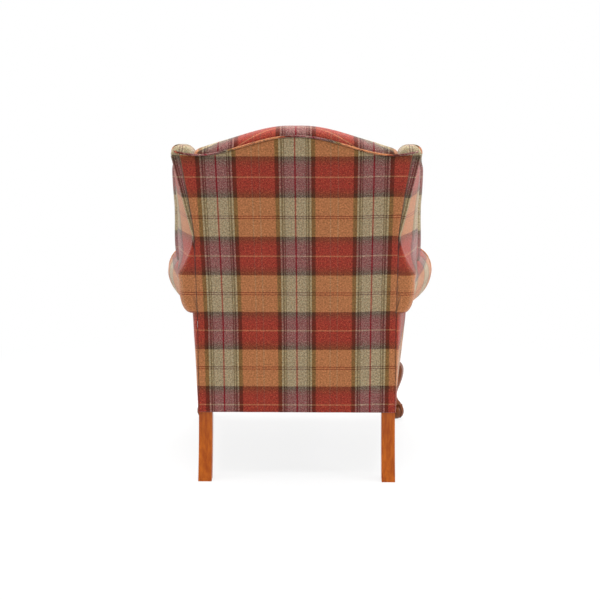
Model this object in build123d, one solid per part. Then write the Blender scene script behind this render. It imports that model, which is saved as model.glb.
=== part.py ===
from build123d import *
import os
from math import cos, pi, radians, sin, sqrt, tan

# Fireside wing chair with a camel back, rolled arms and claw-and-ball front legs.
# Millimetres. +Z up, the chair faces -Y, the sitter's left is +X.
# Origin: on the floor under the middle of the chair's box.

# ---- driving dimensions ------------------------------------------------------------------

# whole chair
height = 1050.0             # floor to the top of the crest
width = 868.0               # across the arm rolls
depth = 840.0               # front toes to the back of the crest
seat_height = 470.0         # floor to the crown of the cushion

# clearances
fit = 0.3                   # between a soft piece and its neighbour
loose = 1.0                 # where two stuffed curves meet
tenon_fit = 0.1             # round a tenon in its mortise

# cloth and stuffing
cover = 5.0                 # cover with its wadding, on outside faces
side_cover = 3.0            # the same on the outside arms
arm_pad = 14.0              # stuffing on the inner face of an arm
border_pad = 14.0           # stuffing in front of the seat rail
facing_pad = 12.0           # padded facing on the front of an arm
crest_roll = 30.0           # stuffing above the crest rail
crest_fall = 13.0           # less of it at the ends, beside the wings
crest_fall_run = 85.0       # over this length of the crest at each end
crest_swell = 3.8           # more of it on the slopes of the hump
crest_nose = 42.0           # depth of the rolled front of the crest
crest_crown = 36.0          # the highest line of the crest, in front of its rear
back_pad_low = 88.0         # stuffing of the inside back at the lumbar
back_pad_top = 60.0         # the same just below the crest
welt = 6.0                  # thickness of the welt cord in its cover

# back
rake = 14.0                 # lean of the back, degrees
rake_start = 470.0          # height where the posts begin to lean
arm_overhang = 97.0         # arm rolls stand out past the seat rail at the front
seat_taper = 45.0           # the back is narrower than the front by this, each side
back_flare = 32.0           # the back panel widens by this up to the shoulders, each side
wing_strip = 24.0           # strip of the wing cover on the back at the shoulders
flare_rise = 115.0          # the flare begins this far above the arms
shoulder_drop = 53.0        # shoulders below the middle of the crest
hump_inset = 27.0           # the camel hump ends this far inside the straight edge
hump_power = 0.85           # below 1 the hump is fuller than a cosine
shoulder_lift = 6.0         # rise of the top edge from its hollows to the shoulders
crest_rail_height = 95.0    # depth of the crest rail at the middle

# frame timber
frame_deep = 38.0           # back members, front to back
rail_thick = 28.0           # seat rails
rail_bottom = 203.0         # floor to the underside of the seat rails
hem = 5.0                   # outside covers reach below the rails
rail_height = 85.0
tenon_thick = 12.0
tenon_long = 22.0
tenon_shoulder = 12.0       # rail left above and below a tenon
block_side = 58.0           # corner blocks, along each rail
block_height = 60.0
stuffing_rail_rise = 42.0   # stuffing rails above the seat rails
stuffing_rail_height = 45.0

# rear legs
leg_side = 40.0
leg_sweep = 54.0            # the foot stands this far behind the post
splice_height = 110.0       # lap joint between leg and post

# front legs
leg_block = 55.0            # square top of a cabriole leg
knee_reach = 65.0           # knee ridge from the block's centre, along the diagonal
ankle_reach = 29.0
ankle_radius = 17.0
foot_reach = 33.0           # centre of the ball from the block's centre
ball_radius = 27.5
foot_flat = 1.5             # worn flat under the ball
toe_proud = 1.0             # middle of a talon outside the ball
knee_height = 178.0
ankle_height = 94.0
ear_length = 52.0           # knee brackets, along the rail
ear_drop = 40.0
ear_thick = 24.0

# arms
arm_height = 620.0          # floor to the top of an arm
arm_setback = 130.0         # arm fronts behind the front rail
roll_half = 60.0            # half the width of the roll at the front
roll_half_tall = 78.0       # half its height there
rear_roll_reach = 52.0      # the roll beside the back stands out this far past it
rear_roll_half = 30.0       # half its width there
rear_roll_drop = 30.0       # its middle below the top of the arm there
rear_roll_deep = 93.0       # its middle to its lowest point there
rear_roll_turn = 24.0       # the end of the roll is rounded over this much
rear_roll_full = 14.0       # the foot of its end is this much wider
rear_roll_flat = 12.0       # its flat top is this much wider there
rear_round = 20.0           # the arm's rounded inner top edge there
rear_tuck_in = 3.0          # its tacking line inside the roll there
rear_board_back = 30.0      # stuffing outside the arm board there
roll_ease = 4.0             # straight part of the roll's outer side
arm_pad_wide = 41.0         # inner face of an arm to the outer face of the side rail
arm_round = 33.0            # rounded inner top edge of an arm
arm_top_pad = 30.0          # stuffing on the arm board
arm_board = 26.0            # thickness of the arm board
arm_board_back = 36.0       # stuffing outside the arm board
arm_tuck_in = 17.0          # where the roll is tacked, inside the roll's middle
arm_tuck_up = 3.0           # and above its lowest point
stump_thick = 30.0
stump_head = 20.0           # the stump's flared head begins this far below the roll's middle
stuffing_strip = 20.0       # arm stuffing rail

# wings
wing_thick = 52.0
wing_splay = 20.0           # a wing's front edge stands out past its top corner
wing_lean = 0.072           # outward lean of the wings above the lean's start
wing_lean_drop = 250.0      # the lean starts this far below the crest
wing_draw = 3.0             # the foot of a wing is drawn in on to the arm
wing_deep = 163.4           # a wing's front edge in front of the foot of the back
wing_below_crest = 54.0     # wing tops below the top of the crest
wing_waist_rise = 115.0     # a wing's rear corner is drawn in most this far above the arms
wing_waist_out = 4.5        # the corner outside the back's edge there
wing_foot_out = 33.0        # and where the wings meet the arms
wing_foot_puff = 20.0       # the side swells this far past the corner there
wing_knee_rise = 140.0      # below this, above the arms, a wing sweeps forward
wing_sweep = 110.0
wing_shoulder_drop = 220.0  # above this, below the crest, its front edge rounds back
wing_round = 50.0
wing_slope_drop = 107.0     # above this its top edge slopes up to the back
wing_slope = 180.0
wing_roll = 44.0            # depth of the stuffed roll along the front edge
wing_roll_proud = 9.0       # the roll stands out from the outside cover
wing_skin = 7.0             # outside cover of a wing with its wadding
wing_cap = 30.0             # rounded top of a wing
wing_post_thick = 22.0
wing_post_deep = 30.0
wing_post_back = 27.0       # wing post behind the front edge
wing_post_in = 24.0         # wing post inside the outermost point
wing_post_drop = 125.0      # wing post's top below the crest
wing_rail_height = 32.0
wing_rail_splay = 18.0      # the top rail runs in this far towards the back

# seat
deck_thick = 37.0
strap_wide = 50.0
strap_thick = 2.5
seat_straps = 5             # each way
back_straps = 4             # each way
back_strap_inset = 142.0    # outer back straps inside the edge of the back
back_pad_inset = 7.0        # sides of the inside back inside the edge of the back
back_pad_crown = 8.0        # the inside back is fuller in the middle
back_pad_mid = 78.0         # stuffing of the inside back at its middle
back_mid_drop = 20.0        # its middle below the tops of the arms
lumbar = 22.0               # swell of the inside back above the seat
cushion_crown = 28.0        # rise of the crown above the cushion's corners
cushion_corner = 26.0       # its front corners in plan
cushion_round = 9.0         # its other corners
cushion_draw = 5.0          # sides pulled in between the corners
cushion_gap = 4.0           # cushion to arms, facings and back
cushion_over = 4.0          # cushion in front of the border
dust_cover_thick = 1.0

# ---- places worked out from them ---------------------------------------------------------

lean = tan(radians(rake))
front_half = width / 2 - arm_overhang
back_half = front_half - seat_taper
shoulder_half = back_half + back_flare
corner_half = shoulder_half + wing_strip
hump_half = back_half - hump_inset
back_pad_half = back_half - back_pad_inset
crest_full_half = back_pad_half - crest_fall_run
flare_start = arm_height + flare_rise
pipe_height = height - crest_roll
back_low = depth / 2 - lean * (pipe_height + welt - rake_start)
rail_top = rail_bottom + rail_height
stuffing_rail_bottom = rail_top + stuffing_rail_rise
back_pad_mid_z = arm_height - back_mid_drop
front_rail = -depth / 2 + ball_radius + foot_reach / sqrt(2) - leg_block / 2
arm_front = front_rail + arm_setback
deck_bottom = rail_top + 2 * strap_thick + 2 * fit
deck_top = deck_bottom + deck_thick
roll_x = width / 2 - roll_half
roll_z = arm_height - roll_half_tall
rear_roll_out = back_half + rear_roll_reach
rear_roll_z = arm_height - rear_roll_drop
crest_bottom = pipe_height - crest_rail_height
post_front_low = back_low - cover - frame_deep
wing_base = arm_height + fit
wing_top = height - wing_below_crest
wing_front = back_low - wing_deep
wing_out = corner_half + wing_splay
wing_lean_start = height - wing_lean_drop
wing_waist = arm_height + wing_waist_rise
wing_waist_half = back_half + wing_waist_out
wing_foot_half = back_half + wing_foot_out
wing_knee = arm_height + wing_knee_rise
wing_shoulder = height - wing_shoulder_drop
wing_slope_start = height - wing_slope_drop
shoulder_z = pipe_height - shoulder_drop
post_flare = corner_half - wing_skin - cover


def back_y(z):
    """The outer face of the back at a height."""
    return back_low + lean * max(0.0, z - rake_start)


def frame_y(z):
    """The front face of the back frame at a height."""
    return back_y(z) - cover - frame_deep


def pipe_z(x):
    """Top edge of the back panel: a cosine hump that falls to a hollow, then rises to the wings."""
    reach = min(abs(x) / hump_half, 1.0)
    hump = ((1 + cos(pi * reach)) / 2) ** hump_power
    past = max(0.0, abs(x) - hump_half) / (shoulder_half - hump_half)
    return pipe_height - shoulder_drop * (1 - hump) + shoulder_lift * past ** 2


def side_rail_x(y):
    """The outer face of a side seat rail, which runs in towards the back."""
    share = (y - front_rail) / (post_front_low - front_rail)
    return front_half + (back_half - front_half) * share


# ---- helpers -----------------------------------------------------------------------------


def closed(*edges):
    """A flat face inside a loop of edges."""
    return Face(Wire(list(edges)))


def loop(points):
    """A flat face inside straight lines through points."""
    return Face(Wire.make_polygon([Vector(*p) for p in points], close=True))


def between(first, last, share):
    """A value part of the way from one to another."""
    return first + (last - first) * share


def spaced(first, last, count):
    """Evenly spaced values."""
    step = (last - first) / (count - 1)
    return [first + step * i for i in range(count)]


def along_x(face, length):
    return extrude(face, amount=length, dir=(1, 0, 0))


def along_y(face, length):
    return extrude(face, amount=length, dir=(0, 1, 0))


def along_z(face, length):
    return extrude(face, amount=length, dir=(0, 0, 1))


def block(x0, x1, y0, y1, z0, z1):
    """A box between its low and high corners."""
    size = Box(x1 - x0, y1 - y0, z1 - z0, align=(Align.MIN, Align.MIN, Align.MIN))
    return Pos(x0, y0, z0) * size


def mirrored(shape):
    return mirror(shape, about=Plane.YZ)


def leaning_slab(front, rear, z0, z1, x0, x1):
    """A slab of the back between two faces, given as distances in front of its outer face."""
    points = [
        (x0, back_y(z0) - front, z0),
        (x0, back_y(z0) - rear, z0),
    ]
    if z0 < rake_start < z1:
        points.append((x0, back_low - rear, rake_start))
    points.append((x0, back_y(z1) - rear, z1))
    points.append((x0, back_y(z1) - front, z1))
    if z0 < rake_start < z1:
        points.append((x0, back_low - front, rake_start))
    return along_x(loop(points), x1 - x0)


def flare(x_low, x_top, z_top, y):
    """The flared side edge of the back from its straight part up to a height."""
    rise = z_top - flare_start
    step = x_top - x_low
    points = [
        Vector(x_low, y, flare_start),
        Vector(x_low + 0.16 * step, y, flare_start + 0.33 * rise),
        Vector(x_low + 0.50 * step, y, flare_start + 0.67 * rise),
        Vector(x_top, y, z_top),
    ]
    return Spline(points, tangents=[(0, 0, 1), (0.19, 0, 1)])


# ---- back frame --------------------------------------------------------------------------


def back_outline(grow, z_top):
    """Half of the frame's rear view, right of the middle, out to the edge of the posts."""
    y = back_low - depth
    low = back_half - fit + grow
    top = post_flare + grow
    edge = flare(low, top, z_top, y)
    face = closed(
        Line((0, y, rail_bottom - grow), (low, y, rail_bottom - grow)),
        Line((low, y, rail_bottom - grow), (low, y, flare_start)),
        edge,
        Line((top, y, z_top), (0, y, z_top)),
        Line((0, y, z_top), (0, y, rail_bottom - grow)),
    )
    return along_y(face, 2 * depth)


def back_post(grow=0.0):
    """A sawn post: upright to the seat, then leaning, its outer edge flared to the wing."""
    inner = back_half - leg_side - grow
    slab = leaning_slab(cover + frame_deep + grow, cover - grow, rail_bottom - grow, crest_bottom, inner, width / 2)
    post = slab & back_outline(grow, pipe_height - shoulder_drop)
    if grow:
        return post
    lap = block(inner, width / 2, back_low - cover - frame_deep / 2, depth, 0, rail_bottom + splice_height)
    return post - lap


def rear_leg():
    """A square show-wood leg that sweeps back, with the tongue of the splice above it."""
    x0 = back_half - leg_side
    rear = back_low - cover
    foot = rear + leg_sweep
    bend = rail_bottom - hem - 1.0
    front = rear - leg_side
    tongue = rear - frame_deep / 2
    top = rail_bottom + splice_height
    half_y = 0.34 * leg_sweep
    half_z = bend / 2
    face = closed(
        Line((x0, foot - leg_side, 0), (x0, foot, 0)),
        ThreePointArc((x0, foot, 0), (x0, rear + half_y, half_z), (x0, rear, bend)),
        Line((x0, rear, bend), (x0, rear, top)),
        Line((x0, rear, top), (x0, tongue, top)),
        Line((x0, tongue, top), (x0, tongue, rail_bottom)),
        Line((x0, tongue, rail_bottom), (x0, front, rail_bottom)),
        Line((x0, front, rail_bottom), (x0, front, bend)),
        ThreePointArc((x0, front, bend), (x0, front + half_y, half_z), (x0, foot - leg_side, 0)),
    )
    return along_x(face, leg_side - fit)


def hump_edge(drop, half, y):
    """The camel-back curve across the chair, at a drop below the top edge of the back panel."""
    count = 16
    points = []
    for i in range(count + 1):
        x = half - 2 * half * i / count
        points.append(Vector(x, y, pipe_z(x) - drop))
    return Spline(points)


def crest_rail(grow=0.0):
    """The top rail: straight below, camel-backed above, its ends in line with the posts."""
    y = back_low - depth
    end_low = post_flare - 8.0 + grow
    end_top = post_flare - 1.0 + grow
    top = hump_edge(fit - grow, end_top, y)
    end_z = pipe_z(end_top) - fit + grow
    low = crest_bottom - grow
    face = closed(
        Line((-end_low, y, low), (end_low, y, low)),
        Line((end_low, y, low), (end_top, y, end_z)),
        top,
        Line((-end_top, y, end_z), (-end_low, y, low)),
    )
    sawn = along_y(face, 3 * depth)
    slab = leaning_slab(cover + frame_deep + grow, cover - grow, low, height, -width / 2, width / 2)
    return sawn & slab


def tenon(x0, x1, y, z0, z1, grow=0.0):
    """A tenon that runs along X, centred on y."""
    half = tenon_thick / 2 + grow
    return block(x0 - grow, x1 + grow, y - half, y + half, z0 + tenon_shoulder - grow, z1 - tenon_shoulder + grow)


def cross_rail(rear, thick, z0, z1, half):
    """A rail between the posts with a tenon at each end."""
    y = rear - thick / 2
    rail = block(-half, half, rear - thick, rear, z0, z1)
    return rail + tenon(-half - tenon_long, half + tenon_long, y, z0, z1)


def back_seat_rail():
    return cross_rail(back_low - cover, rail_thick, rail_bottom, rail_top, back_half - leg_side)


def back_stuffing_rail():
    top = stuffing_rail_bottom + stuffing_rail_height
    rear = back_low - cover - frame_deep + rail_thick
    return cross_rail(rear, rail_thick, stuffing_rail_bottom, top, back_half - leg_side)


# ---- seat frame --------------------------------------------------------------------------


def front_seat_rail():
    return cross_rail(front_rail + rail_thick, rail_thick, rail_bottom, rail_top, front_half - leg_block)


def side_tenon(y0, y1, x, grow=0.0):
    """A tenon that runs along Y at the end of a side rail."""
    half = tenon_thick / 2 + grow
    z0 = rail_bottom + tenon_shoulder - grow
    z1 = rail_top - tenon_shoulder + grow
    return block(x - half, x + half, y0 - grow, y1 + grow, z0, z1)


def side_tenon_x(y):
    return side_rail_x(y) - rail_thick / 2


def side_seat_rail():
    """A side rail from the back post to the block of the front leg."""
    y0 = front_rail + leg_block
    y1 = post_front_low
    plan = loop([
        (side_rail_x(y0), y0, rail_bottom),
        (side_rail_x(y1) - fit, y1, rail_bottom),
        (side_rail_x(y1) - rail_thick, y1, rail_bottom),
        (side_rail_x(y0) - rail_thick, y0, rail_bottom),
    ])
    rail = along_z(plan, rail_height)
    front = side_tenon(y0 - tenon_long, y0 + 2.0, side_tenon_x(y0))
    rear = side_tenon(y1 - 2.0, y1 + tenon_long / 2, side_tenon_x(y1))
    return rail + front + rear


def corner_block_front():
    """A glue block behind a front leg, between the rails."""
    y = front_rail + rail_thick
    x = side_rail_x(front_rail + leg_block) - rail_thick
    z = rail_bottom + (rail_height - block_height) / 2
    deep = leg_block - rail_thick
    low = front_half - leg_block - block_side
    plan = loop([
        (low, y, z),
        (front_half - leg_block, y, z),
        (front_half - leg_block, y + deep, z),
        (x, y + deep, z),
        (side_rail_x(y + deep + block_side) - rail_thick, y + deep + block_side, z),
    ])
    return along_z(plan, block_height)


def corner_block_rear():
    """A glue block between the back rail, the post and a side rail."""
    y = back_low - cover - rail_thick
    x = back_half - leg_side
    z = rail_bottom + (rail_height - block_height) / 2
    plan = loop([
        (x - block_side, y, z),
        (x, y, z),
        (x, post_front_low, z),
        (side_rail_x(post_front_low) - rail_thick, post_front_low, z),
        (side_rail_x(post_front_low - block_side) - rail_thick, post_front_low - block_side, z),
    ])
    return along_z(plan, block_height)


# ---- front legs --------------------------------------------------------------------------


def leg_centre():
    return front_half - leg_block / 2, front_rail + leg_block / 2


def leg_section(z, outer, inner, side, bulge):
    """A four-cornered section with bowed sides, its ridge on the outward diagonal."""
    cx, cy = leg_centre()
    mid = (outer + inner) / 2
    ways = [(outer, 0.0), (mid, side), (inner, 0.0), (mid, -side)]
    corners = []
    for run, across in ways:
        dx = (run - across) / sqrt(2)
        dy = (-run - across) / sqrt(2)
        corners.append(Vector(cx + dx, cy + dy, z))
    middle = (corners[0] + corners[1] + corners[2] + corners[3]) / 4
    edges = []
    for i in range(4):
        a = corners[i]
        b = corners[(i + 1) % 4]
        half = (a + b) / 2
        out = half - middle
        edges.append(ThreePointArc(a, half + out * bulge, b))
    return Wire(edges)


def leg_shaft():
    """The cabriole: square under the rail, a proud knee, a slim ankle and a spreading foot."""
    corner = leg_block / sqrt(2)
    sections = [
        leg_section(rail_bottom, corner, -corner, corner, 0.01),
        leg_section(knee_height + 14, knee_reach - 6, -corner, corner + 3, 0.10),
        leg_section(knee_height - 8, knee_reach, -corner + 8, corner, 0.16),
        leg_section(knee_height - 42, knee_reach - 15, -17.0, 29.0, 0.30),
        leg_section(ankle_height + 14, ankle_reach + 5, -9.0, 20.0, 0.38),
        leg_section(ankle_height - 12, ankle_reach, -5.0, ankle_radius, 0.40),
        leg_section(66.0, ankle_reach + 9, -3.0, 20.0, 0.40),
        leg_section(50.0, foot_reach + 16, foot_reach - 20, 20.0, 0.36),
    ]
    return Solid.make_loft(sections)


def talon(angle, reach):
    """One toe: it runs over the ball from the ankle, thick at its knuckles, to a claw."""
    cx, cy = leg_centre()
    bx = cx + foot_reach / sqrt(2)
    by = cy - foot_reach / sqrt(2)
    steps = [(66, 8.5), (50, 6.5), (34, 8.0), (14, 5.5), (-4, 6.5), (-26, 4.2), (-46, 2.0)]
    sections = []
    for lift, half in steps:
        up = radians(lift)
        ring = reach * cos(up)
        spot = Vector(
            bx + ring * cos(angle),
            by + ring * sin(angle),
            ball_radius - foot_flat + reach * sin(up),
        )
        out = Vector(cos(up) * cos(angle), cos(up) * sin(angle), sin(up))
        across = Vector(-sin(angle), cos(angle), 0)
        sections.append(Wire.make_polygon([
            spot + across * half - out * 3.0,
            spot + across * half * 0.7 + out * half * 0.55,
            spot - across * half * 0.7 + out * half * 0.55,
            spot - across * half - out * 3.0,
        ], close=True))
    return Solid.make_loft(sections, ruled=True)


def front_leg():
    """A cabriole leg with its claw-and-ball foot, and the block that the rails tenon into."""
    cx, cy = leg_centre()
    half = leg_block / 2
    rear = cy + half
    top = along_z(loop([
        (cx - half, front_rail, rail_bottom),
        (front_half, front_rail, rail_bottom),
        (side_rail_x(rear), rear, rail_bottom),
        (cx - half, rear, rail_bottom),
    ]), rail_height)
    ball_z = ball_radius - foot_flat
    ball = Pos(cx + foot_reach / sqrt(2), cy - foot_reach / sqrt(2), ball_z) * Sphere(ball_radius)
    leg = top + leg_shaft() + ball
    reach = ball_radius + toe_proud
    for turn in (-45, 45, 135, 225):
        leg = leg + talon(radians(turn), reach)
    leg = leg - block(0, width, -depth, 0, -ball_radius, 0)
    mortise = tenon(
        front_half - leg_block - tenon_long, front_half - leg_block + tenon_long,
        front_rail + rail_thick / 2, rail_bottom, rail_top, tenon_fit,
    )
    y0 = front_rail + leg_block
    side = side_tenon(y0 - tenon_long, y0 + 2.0, side_tenon_x(y0), tenon_fit)
    return leg - mortise - side


def knee_bracket_front(shaft):
    """The shaped ear under the front rail that runs the knee into the rail."""
    x1 = front_half - leg_block - fit
    x0 = x1 - ear_length
    y = front_rail - 5.0
    z0 = rail_bottom - ear_drop
    face = closed(
        Line((x1, y, rail_bottom), (x0, y, rail_bottom)),
        Line((x0, y, rail_bottom), (x0, y, rail_bottom - 7.0)),
        ThreePointArc((x0, y, rail_bottom - 7.0), (x1 - 0.32 * ear_length, y, rail_bottom - 15.0), (x1, y, z0)),
        Line((x1, y, z0), (x1, y, rail_bottom)),
    )
    return along_y(face, ear_thick + 5.0) - shaft


def knee_bracket_side(shaft):
    """The same ear under a side rail."""
    y0 = front_rail + leg_block + fit
    y1 = y0 + ear_length
    x = side_rail_x(y0) - ear_thick
    z0 = rail_bottom - ear_drop
    face = closed(
        Line((x, y0, rail_bottom), (x, y1, rail_bottom)),
        Line((x, y1, rail_bottom), (x, y1, rail_bottom - 7.0)),
        ThreePointArc((x, y1, rail_bottom - 7.0), (x, y0 + 0.32 * ear_length, rail_bottom - 15.0), (x, y0, z0)),
        Line((x, y0, z0), (x, y0, rail_bottom)),
    )
    return along_x(face, ear_thick + 3.0) - shaft


# ---- arms --------------------------------------------------------------------------------


def arm_inner_x(y):
    """The inner face of an arm, parallel to the side rail."""
    return side_rail_x(y) - arm_pad_wide


def arm_places(y):
    """The main points of an arm's section: the roll narrows and straightens towards the back."""
    run = (y - arm_front) / (back_low - arm_front)
    share = run * run * (3 - 2 * run)
    out = between(width / 2, rear_roll_out, share)
    half = between(roll_half, rear_roll_half, share)
    low_z = between(roll_z - roll_half_tall, rear_roll_z - rear_roll_deep, share)
    return {
        "in": arm_inner_x(y),
        "round": between(arm_round, rear_round, share),
        "flat": out - half + rear_roll_flat * share,
        "out": out,
        "upper": between(roll_z, rear_roll_z, share) + roll_ease,
        "mid": between(roll_z, rear_roll_z, share),
        "low_x": out - half,
        "low_z": low_z,
        "tuck_x": out - half - between(arm_tuck_in, rear_tuck_in, share),
        "tuck_z": low_z + arm_tuck_up,
        "board_x": out - between(arm_board_back, rear_board_back, share),
    }


def quarter(y, x0, z0, x1, z1):
    """A quarter of an ellipse in section, from its side at (x0, z0) to its top or foot at (x1, z1)."""
    up = cos(pi / 4)
    mid_x = x1 + (x0 - x1) * up
    mid_z = z0 + (z1 - z0) * up
    return ThreePointArc((x0, y, z0), (mid_x, y, mid_z), (x1, y, z1))


def arm_skin(y, z0, p):
    """The outer edge of an arm's section, from its inner foot over the roll to the tacking line."""
    top = arm_height
    shoulder = p["in"] + p["round"]
    return [
        Line((p["in"], y, z0), (p["in"], y, top - p["round"])),
        quarter(y, p["in"], top - p["round"], shoulder, top),
        Line((shoulder, y, top), (p["flat"], y, top)),
        quarter(y, p["out"], p["upper"], p["flat"], top),
        Line((p["out"], y, p["upper"]), (p["out"], y, p["mid"])),
        quarter(y, p["out"], p["mid"], p["low_x"], p["low_z"]),
        Line((p["low_x"], y, p["low_z"]), (p["tuck_x"], y, p["tuck_z"])),
    ]


def arm_board_top():
    return arm_height - arm_top_pad


def arm_hook(y):
    """The stuffed cover in section: down the inner face, and round the roll to the tacking line."""
    p = arm_places(y)
    z0 = deck_top + fit
    inner = p["in"] + arm_pad
    high = arm_board_top() + fit
    head = roll_z - stump_head
    rim = p["board_x"] + fit
    points = [
        (p["tuck_x"], y, p["tuck_z"]),
        (rim, y, head),
        (rim, y, high),
        (inner, y, high),
        (inner, y, z0),
        (p["in"], y, z0),
    ]
    edges = arm_skin(y, z0, p)
    for a, b in zip(points, points[1:]):
        edges.append(Line(a, b))
    return Wire(edges)


def arm_end(y, inset):
    """The stuffed end of the roll beside the post, in a section that leans with the back."""
    p = arm_places(back_low)
    x0 = back_half
    out = p["out"] - inset
    top = arm_height - 0.2 * inset
    foot = p["low_z"] + 0.3 * inset
    flat = p["flat"] - inset / 2
    low_x = p["low_x"] + rear_roll_full - inset / 2
    up = cos(pi / 4)

    def at(x, z):
        return x, y + lean * (z - rake_start), z

    high = at(between(flat, out, up), between(p["upper"], top, up))
    low = at(between(low_x, out, up), between(p["mid"], foot, up))
    return Wire([
        Line(at(x0, foot), at(x0, top)),
        Line(at(x0, top), at(flat, top)),
        ThreePointArc(at(flat, top), high, at(out, p["upper"])),
        Line(at(out, p["upper"]), at(out, p["mid"])),
        ThreePointArc(at(out, p["mid"]), low, at(low_x, foot)),
        Line(at(low_x, foot), at(x0, foot)),
    ])


def inside_arm():
    """The inside arm: stuffing and cover over the inner face and the roll."""
    y0 = arm_front + facing_pad + fit
    y1 = post_front_low - fit
    turn = rear_roll_turn
    pad = Solid.make_loft([arm_hook(y) for y in spaced(y0, y1, 4)])
    rear = Solid.make_loft([
        arm_end(y1 - 2 * turn, 0),
        arm_end(back_low - turn, 0),
        arm_end(back_low - 0.4 * turn, 0.2 * turn),
        arm_end(back_low - 0.1 * turn, 0.56 * turn),
        arm_end(back_low, turn),
    ], ruled=True)
    return pad + rear - back_post(fit) - arm_board_piece(fit) - wing_post(fit)


def arm_board_piece(grow=0.0):
    """The flat board that the roll is stuffed on, from the stump to the back post."""
    y0 = arm_front + facing_pad + 2 * fit - grow
    y1 = post_front_low + grow
    top = arm_board_top() + grow
    count = 6
    outer = []
    for i in range(count + 1):
        y = y0 + (y1 - y0) * i / count
        outer.append(Vector(arm_places(y)["board_x"] + grow, y, top))
    inner0 = Vector(arm_inner_x(y0) + arm_pad + fit - grow, y0, top)
    inner1 = Vector(arm_inner_x(y1) + arm_pad + fit - grow, y1, top)
    face = closed(Spline(outer), Line(outer[-1], inner1), Line(inner1, inner0), Line(inner0, outer[0]))
    return extrude(face, amount=arm_board + 2 * grow, dir=(0, 0, -1))


def arm_stump():
    """The front upright: it stands on the side rail and its flared head carries the arm board."""
    y0 = arm_front + facing_pad + 2 * fit
    y1 = y0 + stump_thick
    p = arm_places(y1)
    inner = arm_inner_x(y0) + arm_pad + fit
    foot = side_rail_x(y1)
    top = arm_board_top() - arm_board
    head = roll_z - stump_head
    rim = p["board_x"]
    neck = p["tuck_x"] - cover - loose
    face = closed(
        Line((inner, y0, rail_top), (foot, y0, rail_top)),
        Line((foot, y0, rail_top), (neck, y0, p["tuck_z"])),
        Line((neck, y0, p["tuck_z"]), (rim - 3.0, y0, head + 3.0)),
        Line((rim - 3.0, y0, head + 3.0), (rim, y0, top)),
        Line((rim, y0, top), (inner, y0, top)),
        Line((inner, y0, top), (inner, y0, rail_top)),
    )
    return along_y(face, stump_thick)


def arm_stuffing_rail():
    """The rail above the seat that the inside arm is tacked to."""
    y0 = arm_front + facing_pad + 2 * fit + stump_thick
    y1 = post_front_low
    z0 = stuffing_rail_bottom
    inner0 = arm_inner_x(y0) + arm_pad + fit
    inner1 = arm_inner_x(y1) + arm_pad + fit
    plan = loop([
        (inner0, y0, z0),
        (inner0 + stuffing_strip, y0, z0),
        (inner1 + stuffing_strip, y1, z0),
        (inner1, y1, z0),
    ])
    return along_z(plan, stuffing_rail_height)


def outside_arm_edge(y, inner_low, inner_high):
    """The outside arm in section, from below the rail up to the tacking line."""
    p = arm_places(y)
    low = max(side_rail_x(y), back_half)
    z0 = rail_bottom - hem * (y - arm_front) / (back_low - arm_front)
    z1 = p["tuck_z"] - loose
    return Wire.make_polygon([
        Vector(inner_low, y, z0),
        Vector(low + side_cover, y, z0),
        Vector(p["tuck_x"], y, z1),
        Vector(inner_high, y, z1),
    ], close=True)


def outside_arm(inside):
    """The cover below the roll, from the facing to the back, filled out beside the post."""
    sheet = []
    for y in spaced(arm_front + facing_pad + fit, post_front_low, 5):
        sheet.append(outside_arm_edge(y, side_rail_x(y) + fit, arm_places(y)["tuck_x"] - cover))
    filled = []
    for y in (post_front_low, back_low):
        filled.append(outside_arm_edge(y, back_half, back_half))
    rear = Solid.make_loft(filled, ruled=True)
    rear = rear + along_y(Face(filled[1]), 2 * cover)
    rear = rear - leaning_slab(0, -depth, 0, height, 0, width)
    panel = Solid.make_loft(sheet, ruled=True) + rear
    return panel - inside - Pos(0, 0, -fit) * inside


def facing_edges(y):
    """The outline of an arm's front: the whole section, closed down its outer side."""
    p = arm_places(y)
    z0 = deck_top + fit
    edges = arm_skin(y, z0, p)
    foot = side_rail_x(y) + cover
    edges.append(Line((p["tuck_x"], y, p["tuck_z"]), (foot, y, z0)))
    edges.append(Line((foot, y, z0), (p["in"], y, z0)))
    return edges


def arm_facing():
    """The padded facing on the front of an arm."""
    return along_y(closed(*facing_edges(arm_front)), facing_pad)


# ---- wings -------------------------------------------------------------------------------


def seam_x(z):
    """The side seam of the back panel, right of the middle."""
    rise = max(0.0, z - flare_start) / (shoulder_z - flare_start)
    return back_half + (shoulder_half - back_half) * rise ** 1.2


def wing_corner_x(z):
    """The rear corner of a wing: drawn in at the waist, out again over the arm and at the top."""
    if z < wing_waist:
        share = (wing_waist - z) / (wing_waist - wing_base)
        return between(wing_waist_half, wing_foot_half, share ** 1.6)
    share = (z - wing_waist) / (wing_top - wing_cap - wing_waist)
    return between(wing_waist_half, corner_half, share ** 0.95)


def wing_low(z):
    """How far a height is down from the wing's knee to its foot, from 0 to 1."""
    return max(0.0, (wing_knee - z) / (wing_knee - wing_base))


def wing_front_y(z):
    """The front edge of a wing: it sweeps forward to the arm below and rounds back at the top."""
    high = min(1.0, max(0.0, (z - wing_shoulder) / (wing_slope_start - wing_shoulder)))
    lift = wing_round * (1 - sqrt(1 - high ** 2))
    slope = wing_slope * max(0.0, (z - wing_slope_start) / (wing_top - wing_slope_start))
    return wing_front - wing_sweep * wing_low(z) ** 2.4 + lift + slope


def wing_out_x(z):
    """The outermost point of a wing: it leans out, and follows the splayed side as it rounds back."""
    nominal = wing_out + wing_lean * max(0.0, z - wing_lean_start) - wing_draw * wing_low(z) ** 2
    corner = wing_corner_x(z) + 1.0
    side_y = back_y(z) - 9.0
    radius = wing_thick / 2
    share = (side_y - wing_front_y(z) - radius) / (side_y - wing_front - radius)
    return between(corner, nominal, min(1.0, share))


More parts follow.
